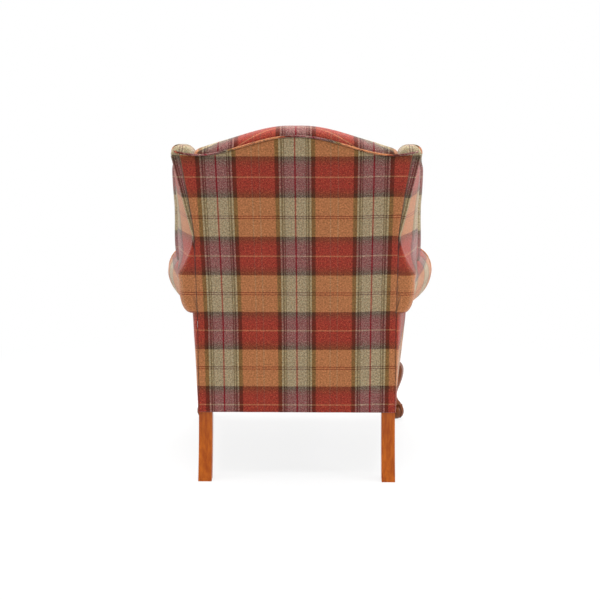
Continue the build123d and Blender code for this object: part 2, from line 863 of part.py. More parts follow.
def wing_places(z):
    """The main points of a wing in plan at a height."""
    front = wing_front_y(z)
    corner = wing_corner_x(z)
    seam = seam_x(z) + 2 * fit
    foot = max(0.0, (wing_waist - z) / (wing_waist - wing_base)) ** 1.6
    side_y = back_y(z) - between(9.0, 26.0, foot)
    radius = wing_thick / 2
    out = wing_out_x(z)
    return {
        "back": back_y(z),
        "front": front,
        "corner": corner,
        "seam": seam,
        "rear_in": max(corner - wing_skin, seam + 1.0),
        "side_x": corner + 1.0 + wing_foot_puff * foot,
        "side_y": side_y,
        "roll_y": min(front + wing_roll, side_y - 12.0),
        "roll_x": out - wing_roll_proud,
        "out": out,
        "start_y": front + radius,
        "mid_x": out - radius,
        "deep": max(frame_y(z) - back_pad_top, front + radius + 6.0),
    }


def outside_wing_section(z):
    """The outer cover in plan: the strip on the back, the corner and the splayed side."""
    p = wing_places(z)
    by = p["back"]
    c = p["corner"]
    turn_x = between(c, p["side_x"], 0.7) - 0.7
    turn_y = between(by, p["side_y"], 0.28)
    return Wire([
        Line((p["seam"], by, z), (c - 3.0, by, z)),
        ThreePointArc((c - 3.0, by, z), (turn_x, turn_y, z), (p["side_x"], p["side_y"], z)),
        Line((p["side_x"], p["side_y"], z), (p["roll_x"], p["roll_y"], z)),
        Line((p["roll_x"], p["roll_y"], z), (p["roll_x"] - wing_skin, p["roll_y"], z)),
        Line((p["roll_x"] - wing_skin, p["roll_y"], z), (p["rear_in"], by - cover, z)),
        Line((p["rear_in"], by - cover, z), (p["seam"], by - cover, z)),
        Line((p["seam"], by - cover, z), (p["seam"], by, z)),
    ])


def wing_edge(p, z, inner, rear):
    """The rolled front edge and the inner face of a wing in plan, round to its rear."""
    radius = wing_thick / 2
    flank = p["mid_x"] - radius
    swell_y = (p["roll_y"] + p["start_y"]) / 2
    swell_x = p["out"] - 1.0
    return [
        ThreePointArc((p["roll_x"], p["roll_y"], z), (swell_x, swell_y, z), (p["out"], p["start_y"], z)),
        ThreePointArc((p["out"], p["start_y"], z), (p["mid_x"], p["front"], z), (flank, p["start_y"], z)),
        Line((flank, p["start_y"], z), (inner, p["deep"], z)),
        Line((inner, p["deep"], z), (inner, rear, z)),
    ]


def inside_wing_section(z):
    """The stuffed part in plan: the rolled front edge, the inner face and what lies on the frame."""
    p = wing_places(z)
    by = p["back"] - cover
    inner = back_pad_half + fit
    edges = [
        Line((inner, by, z), (p["rear_in"], by, z)),
        Line((p["rear_in"], by, z), (p["roll_x"] - wing_skin, p["roll_y"], z)),
        Line((p["roll_x"] - wing_skin, p["roll_y"], z), (p["roll_x"], p["roll_y"], z)),
    ]
    return Wire(edges + wing_edge(p, z, inner, by))


def wing_cap_section(z):
    """The rounded top of a wing in plan: its whole outline, drawn in more and more."""
    p = wing_places(wing_top - wing_cap + 0.6 * (z - wing_top + wing_cap))
    up = (z - wing_top + wing_cap) / wing_cap
    inset = wing_cap * (1 - sqrt(max(0.0, 1 - up * up)))
    p["roll_x"] = p["roll_x"] - inset
    p["out"] = p["out"] - inset
    p["mid_x"] = p["out"] - wing_thick / 2 + inset / 2
    p["front"] = p["front"] + inset
    p["start_y"] = p["start_y"] + inset / 2
    p["deep"] = p["deep"] + inset / 2
    by = back_y(z) - inset
    corner = p["corner"] - inset
    side_y = by - 9.0
    inner = back_pad_half + fit + inset
    edges = [
        Line((inner, by, z), (corner - 3.0, by, z)),
        ThreePointArc((corner - 3.0, by, z), (corner, by - 2.5, z), (corner + 1.0, side_y, z)),
        Line((corner + 1.0, side_y, z), (p["roll_x"], p["roll_y"], z)),
    ]
    return Wire(edges + wing_edge(p, z, inner, by))


def wing_heights():
    """Heights of the wing's sections, closer together where its edges bend."""
    rise = wing_top - wing_cap - wing_base
    shares = (0.0, 0.06, 0.13, 0.21, 0.31, 0.45, 0.6, 0.72, 0.81, 0.88, 0.915, 0.96, 1.0)
    return [wing_base + rise * share for share in shares]


def wing_post(grow=0.0):
    """The front upright of a wing, sawn to the wing's sweep, standing on the arm board."""
    x0 = wing_out - wing_post_in - wing_post_thick - grow
    z0 = arm_board_top() - grow
    z1 = height - wing_post_drop + grow
    count = 8
    front = []
    for i in range(count + 1):
        z = z0 + (z1 - z0) * i / count
        front.append(Vector(x0, wing_front_y(max(z, wing_base)) + wing_post_back - grow, z))
    rear = [p + Vector(0, wing_post_deep + 2 * grow, 0) for p in front]
    face = closed(Spline(front), Line(front[-1], rear[-1]), Spline(rear[::-1]), Line(rear[0], front[0]))
    return along_x(face, wing_post_thick + 2 * grow)


def wing_top_rail(grow=0.0):
    """The upper rail of a wing, from its post back to the back post."""
    top = height - wing_post_drop
    z0 = top - wing_rail_height
    y0 = wing_front_y(top) + wing_post_back + wing_post_deep
    y1 = back_y(z0)
    x0 = wing_out - wing_post_in
    x1 = x0 - wing_rail_splay
    plan = loop([
        (x0 + grow, y0 - grow, z0 - grow),
        (x0 - wing_post_thick - grow, y0 - grow, z0 - grow),
        (x1 - wing_post_thick - grow, y1, z0 - grow),
        (x1 + grow, y1, z0 - grow),
    ])
    rail = along_z(plan, wing_rail_height + 2 * grow)
    return rail - leaning_slab(cover + frame_deep, -depth, z0 - wing_thick, height, 0, width)


def inside_wing():
    """The inside wing: stuffing and cover over the wing's frame, rolled round its front edge."""
    form = Solid.make_loft([inside_wing_section(z) for z in wing_heights()], ruled=True)
    rise = [wing_top - wing_cap + wing_cap * share for share in (0.0, 0.35, 0.65, 0.86, 0.98)]
    form = form + Solid.make_loft([wing_cap_section(z) for z in rise], ruled=True)
    panel = leaning_slab(cover + fit, -fit, 0, shoulder_z + shoulder_lift + fit, 0, shoulder_half + 2 * fit)
    form = form - panel - crest_welt(fit) - crest_rail(fit)
    return form - back_post(fit) - wing_post(fit) - wing_top_rail(fit)


def outside_wing():
    """The flat outer cover of a wing and the strip that it wraps on to the back."""
    return Solid.make_loft([outside_wing_section(z) for z in wing_heights()], ruled=True) - crest_welt(fit)


# ---- upholstered back --------------------------------------------------------------------


def crest_top_z(x):
    """The top of the crest, over the crest rail's stuffing."""
    past = max(0.0, abs(x) - crest_full_half) / crest_fall_run
    swell = crest_swell * sin(pi * min(abs(x) / hump_half, 1.0))
    return pipe_z(x) + crest_roll + swell - crest_fall * past ** 2


def inside_back_section(x):
    """The inside back in section: up the front, over the crest and down to the welt."""
    z0 = deck_top + fit
    gap = 2 * strap_thick + 2 * fit
    top = crest_top_z(x)
    rail = pipe_z(x) + fit
    rear = back_y(rail) - welt - fit
    full = back_pad_crown * (1 - (x / back_pad_half) ** 2)
    front_z = top - crest_nose
    high_y = frame_y(front_z) - back_pad_top - full
    mid_y = frame_y(back_pad_mid_z) - back_pad_mid - full
    low_y = post_front_low - back_pad_low - full
    half_z = (front_z + back_pad_mid_z) / 2
    half_y = (high_y + mid_y) / 2 - 5.0
    swell_z = (back_pad_mid_z + z0) / 2
    swell_y = (mid_y + low_y) / 2 - lumbar
    crown_y = rear - crest_crown
    return Wire([
        Line((x, post_front_low - gap, z0), (x, post_front_low - gap, rake_start)),
        Line((x, post_front_low - gap, rake_start), (x, frame_y(rail) - gap, rail)),
        Line((x, frame_y(rail) - gap, rail), (x, rear, rail)),
        Line((x, rear, rail), (x, rear, rail + welt)),
        ThreePointArc((x, rear, rail + welt), (x, rear - 11.0, top - 9.0), (x, crown_y, top)),
        ThreePointArc((x, crown_y, top), (x, (crown_y + high_y) / 2 - 12.0, top - 15.5), (x, high_y, front_z)),
        ThreePointArc((x, high_y, front_z), (x, half_y, half_z), (x, mid_y, back_pad_mid_z)),
        ThreePointArc((x, mid_y, back_pad_mid_z), (x, swell_y, swell_z), (x, low_y, z0)),
        Line((x, low_y, z0), (x, post_front_low - gap, z0)),
    ])


def inside_back():
    """The inside back: stuffing and cover from the seat up over the crest, cut round the arms."""
    half = back_pad_half
    stations = [half * share for share in (-1, -0.82, -0.6, -0.38, -0.18, 0, 0.18, 0.38, 0.6, 0.82, 1)]
    pad = Solid.make_loft([inside_back_section(x) for x in stations])
    y0 = -depth
    y1 = depth
    arm = along_z(loop([
        (arm_inner_x(y0) - fit, y0, 0),
        (width, y0, 0),
        (width, y1, 0),
        (arm_inner_x(y1) - fit, y1, 0),
    ]), arm_height + fit)
    return pad - arm - mirrored(arm)


def outside_back():
    """The flat cover of the back, flared at its sides and camel-backed at its top."""
    y = back_low - depth
    z0 = rail_bottom - hem
    count = 5
    right = []
    for i in range(count + 1):
        z = flare_start + (shoulder_z - flare_start) * i / count
        right.append(Vector(seam_x(z), y, z))
    left = [Vector(-p.X, p.Y, p.Z) for p in right[::-1]]
    face = closed(
        Line((-back_half, y, z0), (back_half, y, z0)),
        Line((back_half, y, z0), right[0]),
        Spline(right, tangents=[(0, 0, 1), (0.16, 0, 1)]),
        Line(right[-1], (shoulder_half, y, pipe_z(shoulder_half))),
        hump_edge(0, shoulder_half, y),
        Line((-shoulder_half, y, pipe_z(shoulder_half)), left[0]),
        Spline(left, tangents=[(0.16, 0, -1), (0, 0, -1)]),
        Line(left[-1], (-back_half, y, z0)),
    )
    return along_y(face, 3 * depth) & leaning_slab(cover, 0, z0, height, -width / 2, width / 2)


def crest_welt(grow=0.0):
    """The welt along the top edge of the outside back."""
    y = back_low - depth
    half = corner_half - welt - fit + grow
    count = 16
    high = []
    for i in range(count + 1):
        x = -half + 2 * half * i / count
        high.append(Vector(x, y, pipe_z(x) + welt + grow))
    z0 = pipe_z(half) + fit - grow
    z1 = pipe_z(half) + welt + grow
    face = closed(
        hump_edge(grow - fit, half, y),
        Line((-half, y, z0), (-half, y, z1)),
        Spline(high),
        Line((half, y, z1), (half, y, z0)),
    )
    room = leaning_slab(welt + grow, -grow, shoulder_z - hem, height, -width / 2, width / 2)
    return along_y(face, 3 * depth) & room


# ---- seat --------------------------------------------------------------------------------


def weave(start, end, crossings, over_first):
    """Run and level of a strap that passes over and under others: its stops along its length."""
    half = strap_wide / 2 + 4.0
    high = strap_thick + tenon_fit
    stops = [(start, 0.0 if not over_first else high)]
    over = over_first
    for at in crossings:
        level = high if over else 0.0
        stops.append((at - half, level))
        stops.append((at + half, level))
        over = not over
    stops.append((end, stops[-1][1]))
    return stops


def strap_loop(stops, place):
    """The side view of a strap: its underside, then its upper side."""
    under = [place(run, level) for run, level in stops]
    upper = [place(run, level + strap_thick) for run, level in reversed(stops)]
    return loop(under + upper)


def seat_webbing():
    """Woven straps tacked on top of the seat rails."""
    y0 = front_rail + 6.0
    y1 = back_low - cover - 6.0
    half_x = arm_inner_x(0) - strap_wide
    xs = spaced(-half_x, half_x, seat_straps)
    ys = spaced(front_rail + leg_block + strap_wide, post_front_low - strap_wide, seat_straps)
    straps = []
    for i, x in enumerate(xs):
        stops = weave(y0, y1, ys, i % 2 == 0)
        face = strap_loop(stops, lambda run, level: (x - strap_wide / 2, run, rail_top + level))
        straps.append(along_x(face, strap_wide))
    for j, y in enumerate(ys):
        half = side_rail_x(y + strap_wide / 2) - 6.0
        stops = weave(-half, half, xs, j % 2 == 1)
        face = strap_loop(stops, lambda run, level: (run, y - strap_wide / 2, rail_top + level))
        straps.append(along_y(face, strap_wide))
    return Compound(children=[strap.solid() for strap in straps])


def back_webbing():
    """Woven straps on the front of the back frame."""
    reach = back_half - back_strap_inset
    xs = spaced(-reach, reach, back_straps)
    z_low = stuffing_rail_bottom + 8.0
    z_high = crest_bottom + 25.0
    zs = spaced(rake_start + 2 * strap_wide, crest_bottom - strap_wide, back_straps)
    straps = []
    for i, x in enumerate(xs):
        stops = weave(z_low, z_high, zs, i % 2 == 0)
        level0 = stops[0][1]
        stops.insert(1, (rake_start, level0))
        face = strap_loop(stops, lambda run, level: (x - strap_wide / 2, frame_y(run) - level, run))
        straps.append(along_x(face, strap_wide))
    half = back_half - 8.0
    for j, z in enumerate(zs):
        z0 = z - strap_wide / 2
        stops = weave(-half, half, xs, j % 2 == 1)
        face = strap_loop(stops, lambda run, level: (run, frame_y(z0) - level, z0))
        slope = sqrt(1 + lean * lean)
        straps.append(extrude(face, amount=strap_wide * slope, dir=(0, lean, 1)))
    return Compound(children=[strap.solid() for strap in straps])


def seat_deck():
    """The firm pad on the webbing, under the loose cushion."""
    y0 = front_rail + rail_thick + fit
    y1 = post_front_low - fit
    x0 = side_rail_x(y0) - rail_thick - fit
    x1 = side_rail_x(y1) - rail_thick - fit
    plan = loop([(-x0, y0, deck_bottom), (x0, y0, deck_bottom), (x1, y1, deck_bottom), (-x1, y1, deck_bottom)])
    return along_z(plan, deck_thick)


def border_plan(front, side, z):
    """A plan of the seat's front, out from the rails by a distance in front and at the sides."""
    y0 = front_rail - front
    y1 = arm_front + facing_pad
    return loop([
        (-side_rail_x(y0) - side, y0, z),
        (side_rail_x(y0) + side, y0, z),
        (side_rail_x(y1) + side, y1, z),
        (-side_rail_x(y1) - side, y1, z),
    ])


def seat_border():
    """The padded border round the front of the seat, lapped over the rails to the deck."""
    outer = along_z(border_plan(border_pad, cover, rail_bottom), deck_top - rail_bottom)
    corner = outer.edges().filter_by(Axis.Z).sort_by(Axis.Y)[:2]
    outer = fillet(corner, 12.0)
    outer = fillet(outer.faces().sort_by(Axis.Z)[-1].edges().sort_by(Axis.Y)[:3], 10.0)
    y1 = arm_front + facing_pad
    plan = loop([
        (-front_half - fit, front_rail - fit, 0),
        (front_half + fit, front_rail - fit, 0),
        (side_rail_x(y1) + fit, y1, 0),
        (-side_rail_x(y1) - fit, y1, 0),
    ])
    low = along_z(plan, rail_top + 2 * strap_thick + fit)
    open_y = front_rail + rail_thick
    inner = loop([
        (-side_rail_x(open_y) + rail_thick, open_y, 0),
        (side_rail_x(open_y) - rail_thick, open_y, 0),
        (side_rail_x(y1) - rail_thick, y1, 0),
        (-side_rail_x(y1) + rail_thick, y1, 0),
    ])
    return outer - low - along_z(inner, height)


def cushion_plan(z):
    """A T in plan: its stem between the arms, its ears in front of them, all sides drawn in."""
    front = front_rail - border_pad - cushion_over
    ear = arm_front - cushion_gap
    rear = post_front_low - back_pad_low - back_pad_crown - cushion_gap - 3.0
    wide0 = side_rail_x(front) + cover - cushion_gap
    wide1 = side_rail_x(ear) + cover - cushion_gap
    stem0 = arm_inner_x(ear) - cushion_gap
    stem1 = arm_inner_x(rear) - cushion_gap
    draw = cushion_draw
    half_y = (ear + rear) / 2
    half_x = (stem0 + stem1) / 2 - draw
    return closed(
        ThreePointArc((-wide0, front, z), (0, front + draw, z), (wide0, front, z)),
        Line((wide0, front, z), (wide1, ear, z)),
        Line((wide1, ear, z), (stem0, ear, z)),
        ThreePointArc((stem0, ear, z), (half_x, half_y, z), (stem1, rear, z)),
        ThreePointArc((stem1, rear, z), (0, rear - draw, z), (-stem1, rear, z)),
        ThreePointArc((-stem1, rear, z), (-half_x, half_y, z), (-stem0, ear, z)),
        Line((-stem0, ear, z), (-wide1, ear, z)),
        Line((-wide1, ear, z), (-wide0, front, z)),
    )


def seat_cushion():
    """The loose cushion: a boxed T with drawn-in sides and a crowned top."""
    z0 = deck_top + fit
    form = along_z(cushion_plan(z0), height)
    mid_y = (front_rail + post_front_low - back_pad_low) / 2
    reach = front_half
    ball = (reach * reach + cushion_crown * cushion_crown) / (2 * cushion_crown)
    dome = Pos(0, mid_y, seat_height - ball) * Sphere(ball)
    form = form & dome
    uprights = form.edges().filter_by(Axis.Z).sort_by(Axis.Y)
    form = fillet(uprights[2:], cushion_round)
    fronts = form.edges().filter_by(Axis.Z).sort_by(Axis.Y)[:2]
    return fillet(fronts, cushion_corner)


def dust_cover():
    """The black cloth tacked under the seat, cut round the legs and brackets."""
    z = rail_bottom - dust_cover_thick
    inset = ear_thick + 1.0
    y0 = front_rail + inset
    y1 = front_rail + leg_block + ear_length + 1.0
    y2 = back_low - cover - leg_side - 1.0
    y3 = back_low - cover - 4.0
    x1 = front_half - leg_block - ear_length
    x2 = back_half - leg_side - 1.0
    right = [
        (x1, y0, z),
        (x1, y1, z),
        (side_rail_x(y1) - inset, y1, z),
        (side_rail_x(y2) - inset, y2, z),
        (x2, y2, z),
        (x2, y3, z),
    ]
    left = [(-x, y, z) for x, y, z in reversed(right)]
    return along_z(loop(right + left), dust_cover_thick)


# ---- mortises and assembly ---------------------------------------------------------------


def cut_post():
    """A back post with the mortises of the cross rails and of the side rail."""
    half = back_half - leg_side
    seat_y = back_low - cover - rail_thick / 2
    back_rail_y = back_low - cover - frame_deep + rail_thick / 2
    top = stuffing_rail_bottom + stuffing_rail_height
    post = back_post()
    post = post - tenon(half - 1.0, half + tenon_long, seat_y, rail_bottom, rail_top, tenon_fit)
    post = post - tenon(half - 1.0, half + tenon_long, back_rail_y, stuffing_rail_bottom, top, tenon_fit)
    side = side_tenon(post_front_low - 1.0, post_front_low + tenon_long / 2, side_tenon_x(post_front_low), tenon_fit)
    return post - side


def cut_leg():
    """A rear leg with its share of the back rail's mortise."""
    half = back_half - leg_side
    seat_y = back_low - cover - rail_thick / 2
    return rear_leg() - tenon(half - 1.0, half + tenon_long, seat_y, rail_bottom, rail_top, tenon_fit)


def assemble():
    """Every piece under its node name; paired pieces are mirrored about the middle."""
    shaft = Part() + leg_shaft()
    inside = inside_arm()
    single = {
        "back_seat_rail": back_seat_rail(),
        "front_seat_rail": front_seat_rail(),
        "back_stuffing_rail": back_stuffing_rail(),
        "crest_rail": crest_rail(),
        "seat_webbing": seat_webbing(),
        "back_webbing": back_webbing(),
        "seat_deck": seat_deck(),
        "seat_border": seat_border(),
        "seat_cushion": seat_cushion(),
        "inside_back": inside_back(),
        "outside_back": outside_back(),
        "crest_welt": crest_welt(),
        "dust_cover": dust_cover(),
    }
    paired = {
        "front_leg": front_leg(),
        "rear_leg": cut_leg(),
        "knee_bracket_front": knee_bracket_front(shaft),
        "knee_bracket_side": knee_bracket_side(shaft),
        "back_post": cut_post(),
        "side_seat_rail": side_seat_rail(),
        "corner_block_front": corner_block_front(),
        "corner_block_rear": corner_block_rear(),
        "arm_board": arm_board_piece(),
        "arm_stump": arm_stump(),
        "arm_stuffing_rail": arm_stuffing_rail(),
        "inside_arm": inside,
        "outside_arm": outside_arm(inside),
        "arm_facing": arm_facing(),
        "wing_post": wing_post(),
        "wing_top_rail": wing_top_rail(),
        "inside_wing": inside_wing(),
        "outside_wing": outside_wing(),
    }
    pieces = dict(single)
    for name, shape in paired.items():
        pieces[name + "_left"] = shape
        pieces[name + "_right"] = mirrored(shape)
    return pieces


def main():
    os.makedirs("parts", exist_ok=True)
    for name, shape in assemble().items():
        export_step(shape, "parts/" + name + ".step")


if __name__ == "__main__":
    main()
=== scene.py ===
"""Fireside wing chair: tartan wool over a timber frame, seen from behind.

Sizes are in millimetres, the part's own units, and a mesh is turned to metres when it is made.
+Z is up, the chair faces -Y and the sitter's left is +X.
"""

import logging
from collections.abc import Callable
from dataclasses import dataclass, field
from enum import Enum

import bmesh
import bpy
import numpy as np
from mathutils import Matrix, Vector
from mathutils.bvhtree import BVHTree
from mathutils.geometry import delaunay_2d_cdt

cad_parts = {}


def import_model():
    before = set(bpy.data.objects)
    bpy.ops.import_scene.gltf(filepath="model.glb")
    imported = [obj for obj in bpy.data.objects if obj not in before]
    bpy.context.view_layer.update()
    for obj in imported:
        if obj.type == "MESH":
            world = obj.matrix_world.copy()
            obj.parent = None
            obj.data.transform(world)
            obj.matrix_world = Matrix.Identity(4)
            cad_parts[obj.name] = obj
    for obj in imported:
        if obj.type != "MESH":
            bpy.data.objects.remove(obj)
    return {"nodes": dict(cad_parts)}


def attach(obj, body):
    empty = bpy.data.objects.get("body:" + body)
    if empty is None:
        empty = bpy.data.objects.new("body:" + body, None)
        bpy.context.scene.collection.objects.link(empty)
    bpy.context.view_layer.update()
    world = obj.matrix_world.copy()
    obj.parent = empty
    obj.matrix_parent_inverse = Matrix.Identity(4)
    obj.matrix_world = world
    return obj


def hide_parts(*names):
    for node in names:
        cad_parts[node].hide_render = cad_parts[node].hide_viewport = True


log = logging.getLogger("fireside_chair")
MM = 0.001
CLOTH_MAP = "cloth"
SCREEN_GAMMA = 2.2
WHITE = (1.0, 1.0, 1.0)
Array = np.ndarray
NODES: dict[str, bpy.types.Object] = {}


class Side(Enum):
    """The two sides of the chair, by the sign of X."""

    LEFT = 1
    RIGHT = -1

    @property
    def node(self) -> str:
        """The ending of this side's node names."""
        return "_left" if self is Side.LEFT else "_right"


# ---- shader maths ------------------------------------------------------------------------


class Wrapped:
    """A shader's socket that takes Python arithmetic, on either side of the sign."""

    kind = ""

    def __init__(self, shader: "Shader", socket: bpy.types.NodeSocket) -> None:
        """Wraps one socket of a shader."""
        self.shader = shader
        self.socket = socket

    def worked(self, operation: str, first: object, second: object = None) -> "Wrapped":
        """Adds a maths node.

        Args:
            operation: the node's operation.
            first: its first input, as numbers or a wrapped socket.
            second: its second input, where it has one.

        Returns:
            The result, of the same class.
        """
        inputs = {0: first} if second is None else {0: first, 1: second}
        made = self.shader.node(self.kind, {"operation": operation}, inputs)
        return type(self)(self.shader, made.outputs[0])

    def __add__(self, other: object) -> "Wrapped":
        """The sum."""
        return self.worked("ADD", self, other)

    def __sub__(self, other: object) -> "Wrapped":
        """The difference."""
        return self.worked("SUBTRACT", self, other)

    def __rsub__(self, other: object) -> "Wrapped":
        """The difference from something plain."""
        return self.worked("SUBTRACT", other, self)

    def most(self, other: object) -> "Wrapped":
        """The larger of two, part by part."""
        return self.worked("MAXIMUM", self, other)

    __radd__ = __add__


class Value(Wrapped):
    """A number that varies over a surface."""

    kind = "ShaderNodeMath"

    def __mul__(self, other: object) -> "Value":
        """The product."""
        return self.worked("MULTIPLY", self, other)

    def __truediv__(self, other: object) -> "Value":
        """The quotient."""
        return self.worked("DIVIDE", self, other)

    __rmul__ = __mul__

    def fraction(self) -> "Value":
        """The part after the decimal point, from 0 to 1."""
        return self.worked("FRACT", self)

    def size(self) -> "Value":
        """The number without its sign."""
        return self.worked("ABSOLUTE", self)

    def wave(self) -> "Value":
        """The sine."""
        return self.worked("SINE", self)

    def least(self, other: object) -> "Value":
        """The smaller of two."""
        return self.worked("MINIMUM", self, other)

    def step(self, low: float, high: float) -> "Value":
        """A smooth step from 0 at low to 1 at high.

        Args:
            low: where it starts.
            high: where it ends.

        Returns:
            The step.
        """
        settings = {"interpolation_type": "SMOOTHSTEP"}
        inputs = {"Value": self, "From Min": low, "From Max": high}
        return Value(self.shader, self.shader.node("ShaderNodeMapRange", settings, inputs).outputs["Result"])


class Tint(Wrapped):
    """A colour or vector that varies over a surface."""

    kind = "ShaderNodeVectorMath"

    def __mul__(self, share: object) -> "Tint":
        """The colour or vector times a number."""
        made = self.shader.node(self.kind, {"operation": "SCALE"}, {0: self, "Scale": share})
        return Tint(self.shader, made.outputs[0])

    __rmul__ = __mul__

    def length(self) -> Value:
        """The vector's length."""
        made = self.shader.node(self.kind, {"operation": "LENGTH"}, {0: self})
        return Value(self.shader, made.outputs["Value"])


class Shader:
    """The node tree of a material or a world, with one method that adds any node."""

    def __init__(self, name: str, world: bool = False) -> None:
        """Makes an empty material, or an empty world, with its output node.

        Args:
            name: its name.
            world: makes a world in place of a material.
        """
        self.owner = (bpy.data.worlds if world else bpy.data.materials).new(name)
        self.owner.use_nodes = True
        self.tree = self.owner.node_tree
        self.tree.nodes.clear()
        self.output = self.tree.nodes.new("ShaderNodeOutputWorld" if world else "ShaderNodeOutputMaterial")

    def node(self, kind: str, settings: dict | None = None, inputs: dict | None = None) -> bpy.types.Node:
        """Adds a node.

        Args:
            kind: its type.
            settings: its settings, with a ramp's stops under "stops".
            inputs: values, colours or links for its sockets, by name or number.

        Returns:
            The node.
        """
        made = self.tree.nodes.new(kind)
        for key, value in (settings or {}).items():
            if key == "stops":
                self.mark(made.color_ramp.elements, value)
            else:
                setattr(made, key, value)
        for key, value in (inputs or {}).items():
            socket = made.inputs[key]
            if isinstance(value, Wrapped):
                self.tree.links.new(value.socket, socket)
            elif isinstance(value, bpy.types.NodeSocket):
                self.tree.links.new(value, socket)
            elif socket.type == "RGBA" and len(value) == 3:
                socket.default_value = (*value, 1.0)
            else:
                socket.default_value = value
        return made

    @staticmethod
    def mark(elements: bpy.types.bpy_prop_collection, stops: list) -> None:
        """Sets a new ramp's stops.

        Args:
            elements: the ramp's elements.
            stops: places and colours, in their order.
        """
        elements.remove(elements[-1])
        elements[0].position = stops[0][0]
        elements[0].color = (*stops[0][1], 1.0)
        for place, colour in stops[1:]:
            elements.new(place).color = (*colour, 1.0)

    def cloth_place(self) -> tuple[Tint, Value, Value]:
        """Where a point lies on the cloth, as a vector and as its two numbers, in metres.

        Returns:
            The vector and its two numbers.
        """
        place = self.node("ShaderNodeUVMap", {"uv_map": CLOTH_MAP}).outputs[0]
        split = self.node("ShaderNodeSeparateXYZ", inputs={0: place})
        return Tint(self, place), Value(self, split.outputs[0]), Value(self, split.outputs[1])

    def object_place(self, stretch: tuple[float, float, float] = (1.0, 1.0, 1.0)) -> Tint:
        """A point's place in the chair's own frame, stretched along each axis.

        Args:
            stretch: how much each axis is stretched.

        Returns:
            The place.
        """
        place = self.node("ShaderNodeTexCoord").outputs["Object"]
        made = self.node("ShaderNodeMapping", inputs={"Vector": place, "Scale": stretch})
        return Tint(self, made.outputs[0])

    def noise(self, place: Tint, scale: float, detail: float = 2.0, rough: float = 0.5) -> Value:
        """Soft noise from 0 to 1 around 0.5."""
        inputs = {"Vector": place, "Scale": scale, "Detail": detail, "Roughness": rough}
        return Value(self, self.node("ShaderNodeTexNoise", inputs=inputs).outputs[0])

    def ramp(self, share: object, stops: list) -> Tint:
        """A colour ramp over a number from 0 to 1."""
        return Tint(self, self.node("ShaderNodeValToRGB", {"stops": stops}, {"Fac": share}).outputs[0])

    def finish(self, colour: object, rough: object, height: Value | None, relief: float, even: dict) -> None:
        """Joins everything to one Principled shader.

        Args:
            colour: the base colour.
            rough: the roughness.
            height: the bump's height from 0 to 1.
            relief: what a height of 1 stands for, in metres.
            even: values that are the same all over, by socket.
        """
        inputs = {"Base Color": colour, "Roughness": rough, **even}
        if height is not None:
            bump = self.node("ShaderNodeBump", inputs={"Height": height, "Distance": relief, "Strength": 1.0})
            inputs["Normal"] = bump.outputs[0]
        self.show(self.node("ShaderNodeBsdfPrincipled", inputs=inputs))

    def show(self, surface: bpy.types.Node) -> None:
        """Joins a shader node to the output."""
        self.tree.links.new(surface.outputs[0], self.output.inputs[0])


# ---- finishes ----------------------------------------------------------------------------


def code(red: int, green: int, blue: int) -> tuple[float, float, float]:
    """A colour from its three codes of 0 to 255, as shares."""
    return red / 255, green / 255, blue / 255


def linear(red: int, green: int, blue: int) -> tuple[float, float, float]:
    """A colour from its three codes of 0 to 255, as light."""
    return tuple(share**SCREEN_GAMMA for share in code(red, green, blue))


